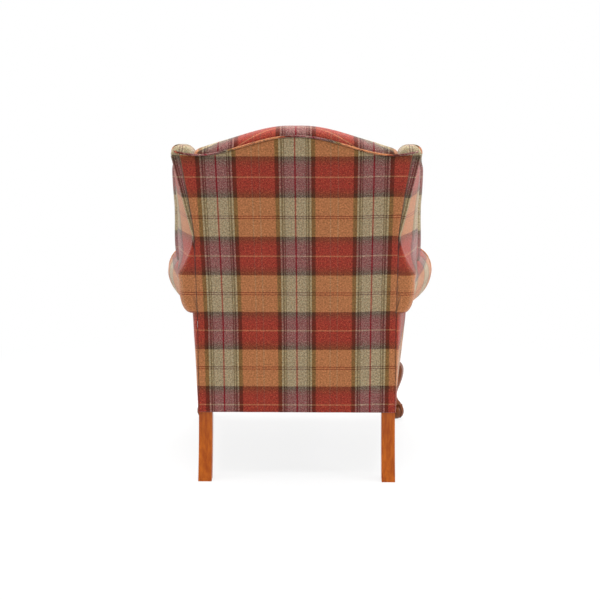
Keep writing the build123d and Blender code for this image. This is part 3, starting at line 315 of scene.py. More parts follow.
@dataclass(frozen=True)
class TartanWool:
    """Woollen tartan: sage blocks on tan along the warp, red bands on tan across it.

    A repeat is the same both ways from the middle of a block, so half of it is given, as stripes
    with their first and last places in repeats and their colours in codes.
    """

    name: str = "tartan_wool"
    sett: float = 0.217
    ribs: float = 0.0021
    gain: float = 1.0
    ground: tuple[int, int, int] = (158, 101, 63)
    sage: tuple[int, int, int] = (145, 128, 99)
    crimson: tuple[int, int, int] = (134, 68, 54)
    dark: tuple[int, int, int] = (112, 96, 68)
    pale: tuple[int, int, int] = (148, 131, 98)
    olive: tuple[int, int, int] = (114, 84, 46)
    faint: tuple[int, int, int] = (151, 109, 73)

    def warp_stripes(self) -> list:
        """Colours from the middle of a sage block to the middle of the tan.

        Returns:
            Each stripe's first place, last place and colour.
        """
        return [
            (0.0, 0.006, self.crimson),
            (0.012, 0.133, self.sage),
            (0.136, 0.146, self.dark),
            (0.149, 0.157, self.pale),
            (0.160, 0.180, self.dark),
            (0.184, 0.202, self.pale),
            (0.207, 0.250, self.olive),
            (0.262, 0.443, self.ground),
            (0.447, 0.457, self.faint),
            (0.461, 0.5, self.ground),
        ]

    def weft_stripes(self) -> list:
        """What the weft takes off, from the middle of a red band to the middle of the tan.

        Returns:
            Each stripe's first place, last place and colour.
        """
        return [
            (0.0, 0.0065, (0, 10, 0)),
            (0.0105, 0.125, (22, 61, 31)),
            (0.190, 0.190, (35, 57, 33)),
            (0.222, 0.250, (46, 53, 36)),
            (0.256, 0.479, (0, 0, 0)),
            (0.482, 0.489, (40, 56, 38)),
            (0.492, 0.5, (0, 0, 0)),
        ]

    def yarn(self, s: Shader, along: Value, stripes: list) -> Tint:
        """The colour of one set of yarns along the cloth.

        Args:
            s: the shader.
            along: the place across those yarns, in metres.
            stripes: half a repeat.

        Returns:
            The colour.
        """
        from_block = 2 * ((along / self.sett + 0.5).fraction() - 0.5).size()
        stops = [(place * 2, code(*colour)) for *ends, colour in stripes for place in dict.fromkeys(ends)]
        return s.ramp(from_block, stops)

    def make(self) -> bpy.types.Material:
        """The cloth: both yarns show in turn in a fine diagonal rib, with flecks of lighter wool.

        Returns:
            The material.
        """
        s = Shader(self.name)
        place, u, v = s.cloth_place()
        warp = self.yarn(s, u, self.warp_stripes())
        weft = self.yarn(s, v, self.weft_stripes())
        rib = (2 * (((u + v) / self.ribs).fraction() - 0.5).size()).step(0.15, 0.85)
        fleck = s.noise(place, 420.0, 3.0, 0.7)
        turn = (rib * 0.5 + fleck * 1.1 - 0.3).least(1.0)
        tan = code(*self.ground)
        woven = tan + (warp - tan) * (2 * turn) - weft * (2 - 2 * turn)
        heather = s.noise(place, 900.0, 2.0, 0.6)
        melange = s.noise(place, 210.0, 3.0, 0.8)
        cloud = s.noise(place, 14.0, 2.0, 0.5)
        level = self.gain * (0.08 + 0.24 * heather + 1.5 * melange + 0.1 * cloud)
        coded = (woven * level).most((0.01, 0.01, 0.01))
        colour = s.node("ShaderNodeGamma", inputs={"Color": coded, "Gamma": SCREEN_GAMMA}).outputs[0]
        height = rib * 0.5 + fleck * 0.5 + heather * 0.3
        even = {"Sheen Weight": 0.3, "Sheen Roughness": 0.45, "Specular IOR Level": 0.2}
        s.finish(colour, 0.86 + 0.1 * fleck, height, 0.0005, even)
        return s.owner


@dataclass(frozen=True)
class ShowWood:
    """Polished hardwood with its grain along Z: honey brown behind, and darker on the carved legs in front by
    painted shade, as they stand in shadow under the seat.
    """

    name: str = "show_wood"
    light: tuple[int, int, int] = (190, 100, 28)
    deep: tuple[int, int, int] = (142, 62, 12)

    def make(self) -> bpy.types.Material:
        """Fine streaks and pores along the grain under a satin varnish, with painted shade that darkens the
        wood towards the front of the chair.

        Returns:
            The material.
        """
        s = Shader(self.name)
        place = s.object_place((1.0, 1.0, 0.07))
        streak = s.noise(place, 150.0, 5.0, 0.6)
        broad = s.noise(place, 34.0, 3.0, 0.55)
        pores = s.noise(s.object_place((1.0, 1.0, 0.03)), 900.0, 2.0, 0.5)
        grain = 0.55 * streak.step(0.3, 0.72) + 0.45 * broad.step(0.32, 0.7)
        base = s.ramp(grain, [(0.0, linear(*self.deep)), (1.0, linear(*self.light))])
        worn = s.noise(s.object_place(), 11.0, 2.0, 0.5)
        # painted shade: the colour is darkened towards the front (-Y), where the front legs stand in shadow
        # under the seat
        depth = Value(s, s.node("ShaderNodeSeparateXYZ", inputs={0: s.object_place()}).outputs[1])
        painted_front_shade = 0.42 + 0.58 * depth.step(-0.2, 0.1)
        colour = base * (0.86 + 0.2 * worn) * (0.9 + 0.12 * pores) * painted_front_shade
        even = {"Coat Weight": 0.2, "Coat Roughness": 0.2, "Specular IOR Level": 0.25}
        s.finish(colour, 0.34 + 0.14 * streak, pores * 0.5 + streak * 0.5, 0.00012, even)
        return s.owner


@dataclass(frozen=True)
class FrameWood:
    """Pale sawn beech of the hidden frame."""

    name: str = "frame_wood"

    def make(self) -> bpy.types.Material:
        """Saw marks across soft grain.

        Returns:
            The material.
        """
        s = Shader(self.name)
        grain = s.noise(s.object_place((1.0, 1.0, 0.15)), 120.0, 4.0, 0.6)
        base = s.ramp(grain, [(0.25, linear(176, 134, 88)), (0.75, linear(206, 170, 122))])
        s.finish(base, 0.7 + 0.15 * grain, grain, 0.0002, {})
        return s.owner


@dataclass(frozen=True)
class PlainCloth:
    """A plain woven cloth of one colour, for the deck, the lining and the webbing."""

    name: str
    colour: tuple[int, int, int]
    threads: float = 700.0

    def make(self) -> bpy.types.Material:
        """Threads each way, each a little lighter or darker than the next.

        Returns:
            The material.
        """
        s = Shader(self.name)
        place = s.node("ShaderNodeSeparateXYZ", inputs={0: s.object_place()})
        x = Value(s, place.outputs[0])
        y = Value(s, place.outputs[1]) + Value(s, place.outputs[2])
        weave = (x * self.threads * 2.0).wave() * 0.25 + (y * self.threads * 2.0).wave() * 0.25 + 0.5
        fibre = s.noise(s.object_place(), 500.0, 3.0, 0.6)
        base = s.ramp(weave * 0.5 + fibre * 0.5, [
            (0.2, linear(*(int(c * 0.82) for c in self.colour))),
            (0.8, linear(*self.colour)),
        ])
        s.finish(base, 0.88 + 0.08 * fibre, weave, 0.0003, {"Specular IOR Level": 0.25})
        return s.owner


# ---- the form ----------------------------------------------------------------------------


def blend(first: object, last: object, share: object) -> object:
    """A value part of the way from one to another."""
    return first + (last - first) * share


def smooth(share: object) -> object:
    """A share from 0 to 1 with level ends: 3 s squared less 2 s cubed."""
    s = np.clip(share, 0.0, 1.0)
    return s * s * (3 - 2 * s)


@dataclass(frozen=True)
class ChairForm:
    """The chair's driving sizes and the curves that its pieces share, as in the part.

    The last fields are places that follow from the sizes above them.
    """

    height: float = 1050.0
    width: float = 868.0
    depth: float = 840.0
    fit: float = 0.3
    cover: float = 5.0
    side_cover: float = 3.0
    arm_pad: float = 14.0
    border_pad: float = 14.0
    facing_pad: float = 12.0
    crest_roll: float = 30.0
    crest_fall: float = 13.0
    crest_fall_run: float = 85.0
    crest_swell: float = 3.8
    crest_nose: float = 42.0
    crest_crown: float = 36.0
    back_pad_low: float = 88.0
    back_pad_top: float = 60.0
    back_pad_mid: float = 78.0
    back_pad_crown: float = 8.0
    back_mid_drop: float = 20.0
    back_pad_inset: float = 7.0
    lumbar: float = 22.0
    welt: float = 6.0
    lean: float = float(np.tan(np.radians(14.0)))
    rake_start: float = 470.0
    arm_overhang: float = 97.0
    seat_taper: float = 45.0
    back_flare: float = 32.0
    wing_strip: float = 24.0
    flare_rise: float = 115.0
    shoulder_drop: float = 53.0
    hump_inset: float = 27.0
    hump_power: float = 0.85
    shoulder_lift: float = 6.0
    frame_deep: float = 38.0
    rail_bottom: float = 203.0
    rail_height: float = 85.0
    hem: float = 5.0
    leg_block: float = 55.0
    foot_reach: float = 33.0
    ball_radius: float = 27.5
    strap_thick: float = 2.5
    deck_thick: float = 37.0
    arm_height: float = 620.0
    arm_setback: float = 130.0
    roll_half: float = 60.0
    roll_half_tall: float = 78.0
    rear_roll_reach: float = 52.0
    rear_roll_half: float = 30.0
    rear_roll_drop: float = 30.0
    rear_roll_deep: float = 93.0
    rear_roll_turn: float = 24.0
    rear_roll_flat: float = 12.0
    rear_round: float = 20.0
    rear_tuck_in: float = 3.0
    rear_board_back: float = 30.0
    roll_ease: float = 4.0
    arm_pad_wide: float = 41.0
    arm_round: float = 33.0
    arm_top_pad: float = 30.0
    arm_board_back: float = 36.0
    arm_tuck_in: float = 17.0
    arm_tuck_up: float = 3.0
    stump_head: float = 20.0
    wing_thick: float = 52.0
    wing_splay: float = 20.0
    wing_lean: float = 0.072
    wing_lean_drop: float = 250.0
    wing_deep: float = 163.4
    wing_below_crest: float = 54.0
    wing_waist_rise: float = 115.0
    wing_waist_out: float = 4.5
    wing_foot_out: float = 33.0
    wing_foot_puff: float = 20.0
    wing_knee_rise: float = 140.0
    wing_sweep: float = 110.0
    wing_shoulder_drop: float = 220.0
    wing_round: float = 50.0
    wing_slope_drop: float = 107.0
    wing_side_drop: float = 128.0
    wing_slope: float = 180.0
    wing_roll: float = 44.0
    wing_roll_proud: float = 9.0
    wing_skin: float = 7.0
    wing_cap: float = 30.0
    cushion_gap: float = 4.0
    cushion_over: float = 4.0
    cushion_draw: float = 5.0
    red_bands: tuple[float, ...] = (279.7, 505.5, 734.5, 966.8)
    band_shift: float = 0.7435

    front_half: float = width / 2 - arm_overhang
    back_half: float = front_half - seat_taper
    shoulder_half: float = back_half + back_flare
    corner_half: float = shoulder_half + wing_strip
    hump_half: float = back_half - hump_inset
    pad_half: float = back_half - back_pad_inset
    pipe_height: float = height - crest_roll
    back_low: float = depth / 2 - lean * (pipe_height + welt - rake_start)
    rail_top: float = rail_bottom + rail_height
    front_rail: float = -depth / 2 + ball_radius + foot_reach / 2**0.5 - leg_block / 2
    arm_front: float = front_rail + arm_setback
    deck_bottom: float = rail_top + 2 * strap_thick + 2 * fit
    deck_top: float = deck_bottom + deck_thick
    roll_z: float = arm_height - roll_half_tall
    rear_roll_out: float = back_half + rear_roll_reach
    rear_roll_z: float = arm_height - rear_roll_drop
    post_front_low: float = back_low - cover - frame_deep
    wing_base: float = arm_height + fit
    wing_top: float = height - wing_below_crest
    wing_front: float = back_low - wing_deep
    wing_out: float = corner_half + wing_splay
    wing_waist: float = arm_height + wing_waist_rise
    wing_knee: float = arm_height + wing_knee_rise
    flare_start: float = arm_height + flare_rise
    shoulder_z: float = pipe_height - shoulder_drop

    def leaned(self, z: Array) -> Array:
        """How far the back has leaned at a height."""
        return self.lean * np.maximum(0.0, z - self.rake_start)

    def back_y(self, z: Array) -> Array:
        """The outer face of the back at a height: upright, then leaning."""
        return self.back_low + self.leaned(z)

    def frame_y(self, z: Array) -> Array:
        """The front face of the back frame at a height."""
        return self.back_y(z) - self.cover - self.frame_deep

    def pipe_z(self, x: Array) -> Array:
        """The camel-back edge: a raised cosine to a power, then a small rise to the wings.

        Args:
            x: places across.

        Returns:
            The edge's heights.
        """
        reach = np.minimum(np.abs(x) / self.hump_half, 1.0)
        hump = ((1 + np.cos(np.pi * reach)) / 2) ** self.hump_power
        past = np.maximum(0.0, np.abs(x) - self.hump_half) / (self.shoulder_half - self.hump_half)
        return self.pipe_height - self.shoulder_drop * (1 - hump) + self.shoulder_lift * past**2

    def side_rail_x(self, y: Array) -> Array:
        """The outer face of a side seat rail, which runs in towards the back."""
        share = (y - self.front_rail) / (self.post_front_low - self.front_rail)
        return blend(self.front_half, self.back_half, share)

    def arm_inner_x(self, y: Array) -> Array:
        """The inner face of an arm."""
        return self.side_rail_x(y) - self.arm_pad_wide

    def seam_x(self, z: Array) -> Array:
        """The side seam of the back panel: straight, then flared by a power curve."""
        rise = np.clip((z - self.flare_start) / (self.shoulder_z - self.flare_start), 0.0, 1.0)
        return self.back_half + self.back_flare * rise**1.2

    def crest_top_z(self, x: Array) -> Array:
        """The top of the crest: the camel-back edge raised by its stuffing.

        Args:
            x: places across.

        Returns:
            The top's heights.
        """
        full = self.pad_half - self.crest_fall_run
        past = np.maximum(0.0, np.abs(x) - full) / self.crest_fall_run
        swell = self.crest_swell * np.sin(np.pi * np.minimum(np.abs(x) / self.hump_half, 1.0))
        return self.pipe_z(x) + self.crest_roll + swell - self.crest_fall * past**2

    def row_place(self, z: Array) -> Array:
        """Where the cloth's rows fall at a height, in millimetres along the warp.

        The cloth is drawn a little tighter low down, so the rows are a quadratic of the height
        through the four red bands of the back. A whole number of setts is the middle of a band.
        """
        fitted = np.polyfit(self.red_bands, range(len(self.red_bands)), 2)
        return (np.polyval(fitted, z) - self.band_shift) * TartanWool.sett / MM


FORM = ChairForm()


# ---- curves and meshes -------------------------------------------------------------------


def bow(first: Array, middle: Array, last: Array, count: int) -> Array:
    """Points on the parabola through three points, for every row at once.

    Args:
        first: the start, as rows of two numbers.
        middle: the middle.
        last: the end.
        count: how many points.

    Returns:
        Rows of points, the quadratic that is first at 0, middle at a half and last at 1.
    """
    t = np.linspace(0, 1, count)[None, :, None]
    start, half, end = (1 - t) * (1 - 2 * t), 4 * t * (1 - t), t * (2 * t - 1)
    return first[:, None] * start + middle[:, None] * half + last[:, None] * end


def run(first: Array, last: Array, count: int) -> Array:
    """Evenly spaced points on a straight line, for every row at once."""
    t = np.linspace(0, 1, count)[None, :, None]
    return first[:, None] * (1 - t) + last[:, None] * t


def elbow(side: Array, end: Array, count: int, power: Array | float = 1.0) -> Array:
    """A quarter of an ellipse from its side to its top or foot, for every row at once.

    Args:
        side: where it starts, as rows of two numbers.
        end: its top or foot.
        count: how many points.
        power: raises the cosine and the sine, 1 for an ellipse and under 1 for a fuller curve.

    Returns:
        Rows of points.
    """
    turn = np.linspace(0, np.pi / 2, count)[None, :]
    x = end[:, 0:1] + (side[:, 0:1] - end[:, 0:1]) * np.cos(turn) ** power
    z = side[:, 1:2] + (end[:, 1:2] - side[:, 1:2]) * np.sin(turn) ** power
    return point(x, z)


def bend(start: Array, end: Array, count: int) -> Array:
    """A quarter of an ellipse from its top to its side, for every row at once."""
    return elbow(end, start, count)[:, ::-1]


def joined(parts: list[Array]) -> Array:
    """One line from several that meet end to end."""
    return np.concatenate([part[:, :-1] for part in parts[:-1]] + [parts[-1]], axis=1)


def through(corners: list[Array], counts: tuple[int, ...]) -> Array:
    """Straight lines from corner to corner, with the number of points on each."""
    return joined([run(a, b, count) for a, b, count in zip(corners, corners[1:], counts)])


def point(*parts: Array) -> Array:
    """Points from their two or three numbers, each given as an array or as one value."""
    return np.stack(np.broadcast_arrays(*(np.asarray(part, float) for part in parts)), -1)


def unit(ways: Array) -> Array:
    """Vectors made 1 long."""
    return ways / np.maximum(np.linalg.norm(ways, axis=-1, keepdims=True), 1e-6)


def rounded(share: Array) -> Array:
    """How far a quarter circle of radius 1 has dropped: 1 less the root of 1 less s squared."""
    return 1 - np.sqrt(1 - share**2)


def travelled(points: Array) -> Array:
    """The distance gone along each row of points."""
    steps = np.linalg.norm(np.diff(points, axis=1), axis=-1)
    return np.concatenate([np.zeros((len(points), 1)), np.cumsum(steps, axis=1)], axis=1)


def softened(points: Array, passes: int, axis: int, closed: bool = False) -> Array:
    """Points drawn towards the mean of their neighbours, a quarter from each side at each pass.

    Args:
        points: a grid of points.
        passes: how many times.
        axis: the axis along which the neighbours lie.
        closed: the first and the last are neighbours, and nothing is held.

    Returns:
        The grid.
    """
    p = np.moveaxis(points, axis, 0).copy()
    for _ in range(passes):
        if closed:
            p = p / 2 + (np.roll(p, 1, 0) + np.roll(p, -1, 0)) / 4
        else:
            p[1:-1] = p[1:-1] / 2 + (p[:-2] + p[2:]) / 4
    return np.moveaxis(p, 0, axis)


def ripples(a: Array, b: Array, size: float, seed: int) -> Array:
    """Gentle unevenness of stuffing: a sum of twelve sine waves in fixed random directions.

    Args:
        a: places along one way, in millimetres.
        b: places along the other.
        size: about how high the largest ripples are.
        seed: what the directions, lengths and phases are drawn from.

    Returns:
        The height at each place.
    """
    rng = np.random.default_rng(seed)
    total = np.zeros(np.broadcast(a, b).shape)
    for _ in range(12):
        way = rng.uniform(0, 2 * np.pi)
        long = rng.uniform(55, 210)
        phase = rng.uniform(0, 2 * np.pi)
        total = total + np.sin((a * np.cos(way) + b * np.sin(way)) * 2 * np.pi / long + phase)
    return total * size / 3.5


def placed(name: str, data: bpy.types.ID) -> bpy.types.Object:
    """A new object in the scene, from its mesh, its lamp or its camera.

    Args:
        name: its name.
        data: its mesh, lamp or camera.

    Returns:
        The object, linked to the scene.
    """
    obj = bpy.data.objects.new(name, data)
    bpy.context.scene.collection.objects.link(obj)
    return obj


def gathered(items: object, key: str, wide: int = 1, kind: type = float) -> Array:
    """One property of all the items of a mesh.

    Args:
        items: its vertices, faces or corners.
        key: the property.
        wide: how many numbers it has.
        kind: float or int.

    Returns:
        The numbers, in rows where there are more than one to an item.
    """
    flat = np.zeros(len(items) * wide, np.float32 if kind is float else np.int32)
    items.foreach_get(key, flat)
    return (flat.reshape(-1, wide) if wide > 1 else flat).astype(kind)


class Maker:
    """Puts grids of points into meshes, in metres, with their cloth map."""

    @staticmethod
    def mesh(name: str, points: Array, faces: list, corners: Array | None) -> bpy.types.Object:
        """Makes a smooth-shaded object.

        Args:
            name: the piece's name.
            points: its vertices in millimetres.
            faces: vertex numbers of its faces.
            corners: each face corner's place on the cloth in millimetres.

        Returns:
            The object, linked to the scene.
        """
        made = bpy.data.meshes.new(name)
        made.from_pydata((points * MM).tolist(), [], faces)
        made.polygons.foreach_set("use_smooth", np.ones(len(made.polygons), bool))
        if corners is not None:
            layer = made.uv_layers.new(name=CLOTH_MAP)
            layer.data.foreach_set("uv", (corners * MM).astype(np.float32).ravel())
        made.validate()
        return placed(name, made)

    @staticmethod
    def grid(
        name: str, p: Array, cloth: Array, closed: bool = False, capped: bool = False
    ) -> bpy.types.Object:
        """A surface through a grid of points.

        Args:
            name: the piece's name.
            p: rows by columns of points.
            cloth: the same of places on the cloth, with one more column where it is closed.
            closed: joins the last column to the first.
            capped: closes the first and last rows to a point in their middle.

        Returns:
            The object.
        """
        rows, columns = p.shape[:2]
        number = np.arange(rows * columns).reshape(rows, columns)
        if closed:
            number = np.concatenate([number, number[:, :1]], axis=1)
        quads = np.stack([number[:-1, :-1], number[:-1, 1:], number[1:, 1:], number[1:, :-1]], -1)
        places = np.stack([cloth[:-1, :-1], cloth[:-1, 1:], cloth[1:, 1:], cloth[1:, :-1]], 2)
        points = p.reshape(-1, 3)
        faces = quads.reshape(-1, 4).tolist()
        corners = [places.reshape(-1, 2)]
        for row, way in ((0, -1), (rows - 1, 1)) if capped else ():
            ring, edge = number[row][::way], cloth[row][::way]
            hub = np.full(len(ring) - 1, len(points))
            points = np.concatenate([points, p[row].mean(0)[None]])
            faces += np.stack([ring[:-1], ring[1:], hub], -1).tolist()
            middle = np.broadcast_to(cloth[row].mean(0), edge[1:].shape)
            corners.append(np.stack([edge[:-1], edge[1:], middle], 1).reshape(-1, 2))
        return Maker.mesh(name, points, faces, np.concatenate(corners))

    @staticmethod
    def tube(
        name: str, path: Array, radius: float, closed: bool = False, around: int = 12
    ) -> bpy.types.Object:
        """A welt cord: a circle carried along a path.

        The frame at each point is the path's direction, a side square to it and to a fixed up,
        and their cross product. The side's sign is the product of the signs of the steps before
        it, so it never turns over. The cloth is cut on the bias, so its map turns by 45 degrees.

        Args:
            name: the piece's name.
            path: the points of its centreline.
            radius: the circle's radius.
            closed: joins the end to the start.
            around: points on the circle.

        Returns:
            The object.
        """
        ahead = np.roll(path, -1, 0) - np.roll(path, 1, 0) if closed else np.gradient(path, axis=0)
        ahead = unit(ahead)
        steep = np.abs(ahead[:, 2]) > 0.9
        side = unit(np.cross(ahead, np.where(steep[:, None], (0.0, 1.0, 0.0), (0.0, 0.0, 1.0))))
        if steep.any():
            turned = np.where((side[1:] * side[:-1]).sum(1) < 0, -1.0, 1.0)
            side[1:] *= np.cumprod(turned)[:, None]
        rise = np.cross(side, ahead)
        turn = np.linspace(0, 2 * np.pi, around, endpoint=False)
        ring = side[:, None] * np.cos(turn)[None, :, None] + rise[:, None] * np.sin(turn)[None, :, None]
        p = path[:, None] + radius * ring
        long = travelled(path[None])[0]
        if closed:
            p = np.concatenate([p, p[:1]])
            long = np.append(long, long[-1] + np.linalg.norm(path[-1] - path[0]))
        girth = np.linspace(0, 2 * np.pi * radius, around + 1)
        cloth = 0.5**0.5 * point(long[:, None] + girth, long[:, None] - girth)
        obj = Maker.grid(name, p, cloth, closed=True, capped=not closed)
        if closed:
            Maker.weld(obj)
        Maker.outward(obj)
        return obj

    @staticmethod
    def edited(obj: bpy.types.Object, step: Callable) -> None:
        """Runs one step of mesh editing on an object.

        Args:
            obj: the object.
            step: a function of its open mesh.
        """
        work = bmesh.new()
        work.from_mesh(obj.data)
        step(work)
        work.to_mesh(obj.data)
        work.free()

    @staticmethod
    def weld(obj: bpy.types.Object, near: float = 1e-5) -> None:
        """Merges vertices that lie on each other, within a distance in metres."""
        Maker.edited(obj, lambda work: bmesh.ops.remove_doubles(work, verts=work.verts, dist=near))

    @staticmethod
    def outward(obj: bpy.types.Object) -> None:
        """Turns the faces of a closed shape outwards."""
        Maker.edited(obj, lambda work: bmesh.ops.recalc_face_normals(work, faces=work.faces))

    @staticmethod
    def facing(obj: bpy.types.Object, way: tuple[float, float, float]) -> None:
        """Turns an open sheet so that most of its area faces one way.

        Args:
            obj: the sheet.
            way: the way that it should look.
        """
        faces = obj.data.polygons
        if (gathered(faces, "normal", 3) @ np.array(way)) @ gathered(faces, "area") < 0:
            obj.data.flip_normals()

    @staticmethod
    def thicken(obj: bpy.types.Object, thick: float) -> None:
        """Gives a sheet of cloth its thickness behind its face.

        Args:
            obj: the sheet.
            thick: its thickness in millimetres.
        """
        wall = obj.modifiers.new("thickness", "SOLIDIFY")
        wall.thickness = thick * MM
        wall.offset = -1.0

    @staticmethod
    def copied(node: str, name: str) -> bpy.types.Object:
        """A merged copy of a CAD node's mesh, to be shaped further.

        Args:
            node: the node.
            name: the copy's name.

        Returns:
            The copy.
        """
        mesh = NODES[node].data.copy()
        mesh.materials.clear()
        mesh.name = name
        obj = placed(name, mesh)
        Maker.weld(obj)
        return obj


def mirrored(p: Array, side: Side) -> Array:
    """Points of the left side, or their mirror on the right."""
    return p * np.array([side.value, 1.0, 1.0])


def apply_modifiers(obj: bpy.types.Object) -> None:
    """Replaces an object's mesh by what its modifiers make of it.

    Args:
        obj: the object.
    """
    graph = bpy.context.evaluated_depsgraph_get()
    mesh = bpy.data.meshes.new_from_object(obj.evaluated_get(graph))
    obj.modifiers.clear()
    obj.data = mesh


def vertices(obj: bpy.types.Object) -> Array:
    """An object's vertices in millimetres."""
    return gathered(obj.data.vertices, "co", 3) / MM


def set_vertices(obj: bpy.types.Object, points: Array) -> None:
    """Puts an object's vertices at points in millimetres."""
    obj.data.vertices.foreach_set("co", (points * MM).astype(np.float32).ravel())
    obj.data.update()


def remesh(obj: bpy.types.Object, voxel: float, passes: int) -> None:
    """Replaces a mesh by even small faces, then relaxes it.

    Args:
        obj: the piece.
        voxel: the size of its faces in millimetres.
        passes: how often it is relaxed.
    """
    grid = obj.modifiers.new("remesh", "REMESH")
    grid.mode = "VOXEL"
    grid.voxel_size = voxel * MM
    grid.use_smooth_shade = True
    apply_modifiers(obj)
    relax = obj.modifiers.new("relax", "CORRECTIVE_SMOOTH")
    relax.iterations = passes
    relax.use_only_smooth = True
    apply_modifiers(obj)


def inflate(obj: bpy.types.Object, pressure: float, limit: float, frames: int = 20) -> None:
    """Swells a padded piece as stuffed cloth, and keeps each point near where it was.

    Args:
        obj: the piece, already in small even faces.
        pressure: the air pressure inside it.
        limit: how far a point may go, in millimetres.
        frames: how long the simulation runs.
    """
    rest = vertices(obj)
    cloth = obj.modifiers.new("stuffing", "CLOTH")
    cloth.settings.use_pressure = True
    cloth.settings.uniform_pressure_force = pressure
    cloth.settings.effector_weights.gravity = 0.0
    cloth.settings.quality = 4
    cloth.settings.tension_stiffness = 15.0
    cloth.point_cache.frame_start = 1
    cloth.point_cache.frame_end = frames
    for frame in range(1, frames + 1):
        bpy.context.scene.frame_set(frame)
    apply_modifiers(obj)
    bpy.context.scene.frame_set(1)
    step = vertices(obj) - rest
    far = np.linalg.norm(step, axis=1)[:, None]
    set_vertices(obj, rest + step * np.minimum(1.0, limit / np.maximum(far, 1e-6)))


def corner_points(obj: bpy.types.Object) -> Array:
    """The point at every face corner, in millimetres."""
    return vertices(obj)[gathered(obj.data.loops, "vertex_index", kind=int)]


def lay_cloth(obj: bpy.types.Object, place: Callable[[Array], Array]) -> None:
    """Writes the cloth map of a free-form mesh.

    Args:
        obj: the piece.
        place: a function of corner points that gives places on the cloth.
    """
    layer = obj.data.uv_layers.get(CLOTH_MAP) or obj.data.uv_layers.new(name=CLOTH_MAP)
    layer.data.foreach_set("uv", (place(corner_points(obj)) * MM).astype(np.float32).ravel())


def patch_map(
    obj: bpy.types.Object, chosen: Callable[[Array], Array], place: Callable[[Array], Array]
) -> None:
    """Lays another piece of cloth over some faces.

    Args:
        obj: the piece, whose map is already laid.
        chosen: a function of face centres that says which faces.
        place: a function of corner points that gives places on the cloth.
    """
    centre = gathered(obj.data.polygons, "center", 3) / MM
    pick = np.repeat(chosen(centre), gathered(obj.data.polygons, "loop_total", kind=int))
    layer = obj.data.uv_layers[CLOTH_MAP]
    corners = gathered(layer.data, "uv", 2).astype(np.float32)
    corners[pick] = (place(corner_points(obj)[pick]) * MM).astype(np.float32)
    layer.data.foreach_set("uv", corners.ravel())


# ---- dressing ----------------------------------------------------------------------------


@dataclass
class Wardrobe:
    """The finishes, and how a piece is given one and set on its body."""

    made: dict = field(default_factory=dict)

    def __post_init__(self) -> None:
        """Makes every finish once."""
        finishes = {
            "tartan_wool": TartanWool(),
            "welt_cloth": TartanWool(ground=(176, 112, 72), gain=0.98, name="welt_cloth"),
            "show_wood": ShowWood(),
            "frame_wood": FrameWood(),
            "webbing": PlainCloth("webbing", (186, 160, 120)),
            "deck_cloth": PlainCloth("deck_cloth", (150, 118, 84)),
            "black_lining": PlainCloth("black_lining", (38, 36, 36), 900.0),
        }
        self.made = {slot: finish.make() for slot, finish in finishes.items()}

    def dress(
        self, obj: bpy.types.Object, slot: str, body: str = "chair", nodes: tuple[str, ...] = ()
    ) -> bpy.types.Object:
        """Gives a new piece its finish, its body and the nodes it stands for.

        Args:
            obj: the piece.
            slot: the record's material slot.
            body: the body it rides on.
            nodes: the CAD nodes it replaces.

        Returns:
            The piece.
        """
        obj.data.materials.clear()
        obj.data.materials.append(self.made[slot])
        if nodes:
            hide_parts(*nodes)
        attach(obj, body)
        log.info("%s: %d faces in %s", obj.name, len(obj.data.polygons), slot)
        return obj

    def paint(self, node: str, slot: str) -> None:
        """Gives a CAD node that stays in view its finish.

        Args:
            node: the node's name.
            slot: the finish.
        """
        obj = NODES[node]
        obj.data.materials.clear()
        obj.data.materials.append(self.made[slot])


@dataclass
class Upholstery:
    """What each group of covers shares: the form, the finishes and the three kinds of piece."""

    form: ChairForm
    wardrobe: Wardrobe
    welt_radius: float = 3.0

    def cover(
        self, name: str, node: str, p: Array, cloth: Array, way: tuple, thick: float = 1.6
    ) -> bpy.types.Object:
        """An open sheet of tartan stretched over the frame.

        Args:
            name: its name.
            node: the CAD node that it replaces.
            p: its grid of points.
            cloth: their places on the cloth.
            way: where it faces.
            thick: the cloth's thickness.

        Returns:
            The sheet.
        """
        obj = Maker.grid(name, p, cloth)
        Maker.facing(obj, way)
        Maker.thicken(obj, thick)
        return self.wardrobe.dress(obj, "tartan_wool", nodes=(node,))

    def pad(self, name: str, node: str, p: Array, cloth: Array, fill: float) -> bpy.types.Object:
        """A closed and stuffed piece in tartan.

        Args:
            name: its name.
            node: the CAD node that it replaces.
            p: its grid of points, closed across and capped at both ends.
            cloth: their places on the cloth.
            fill: not used.

        Returns:
            The piece.
        """
        obj = Maker.grid(name, p, cloth, closed=True, capped=True)
        Maker.outward(obj)
        self.wardrobe.dress(obj, "tartan_wool", nodes=(node,))
        return obj

    def cord(
        self, name: str, path: Array, body: str = "chair", nodes: tuple[str, ...] = (), closed: bool = False
    ) -> None:
        """A welt cord along a path.

        Args:
            name: its name.
            path: the points of its centreline.
            body: the body it rides on.
            nodes: the CAD nodes that it replaces.
            closed: joins its end to its start.
        """
        obj = Maker.tube(name, path, self.welt_radius, closed=closed)
        self.wardrobe.dress(obj, "welt_cloth", body, nodes)


# ---- the back ----------------------------------------------------------------------------


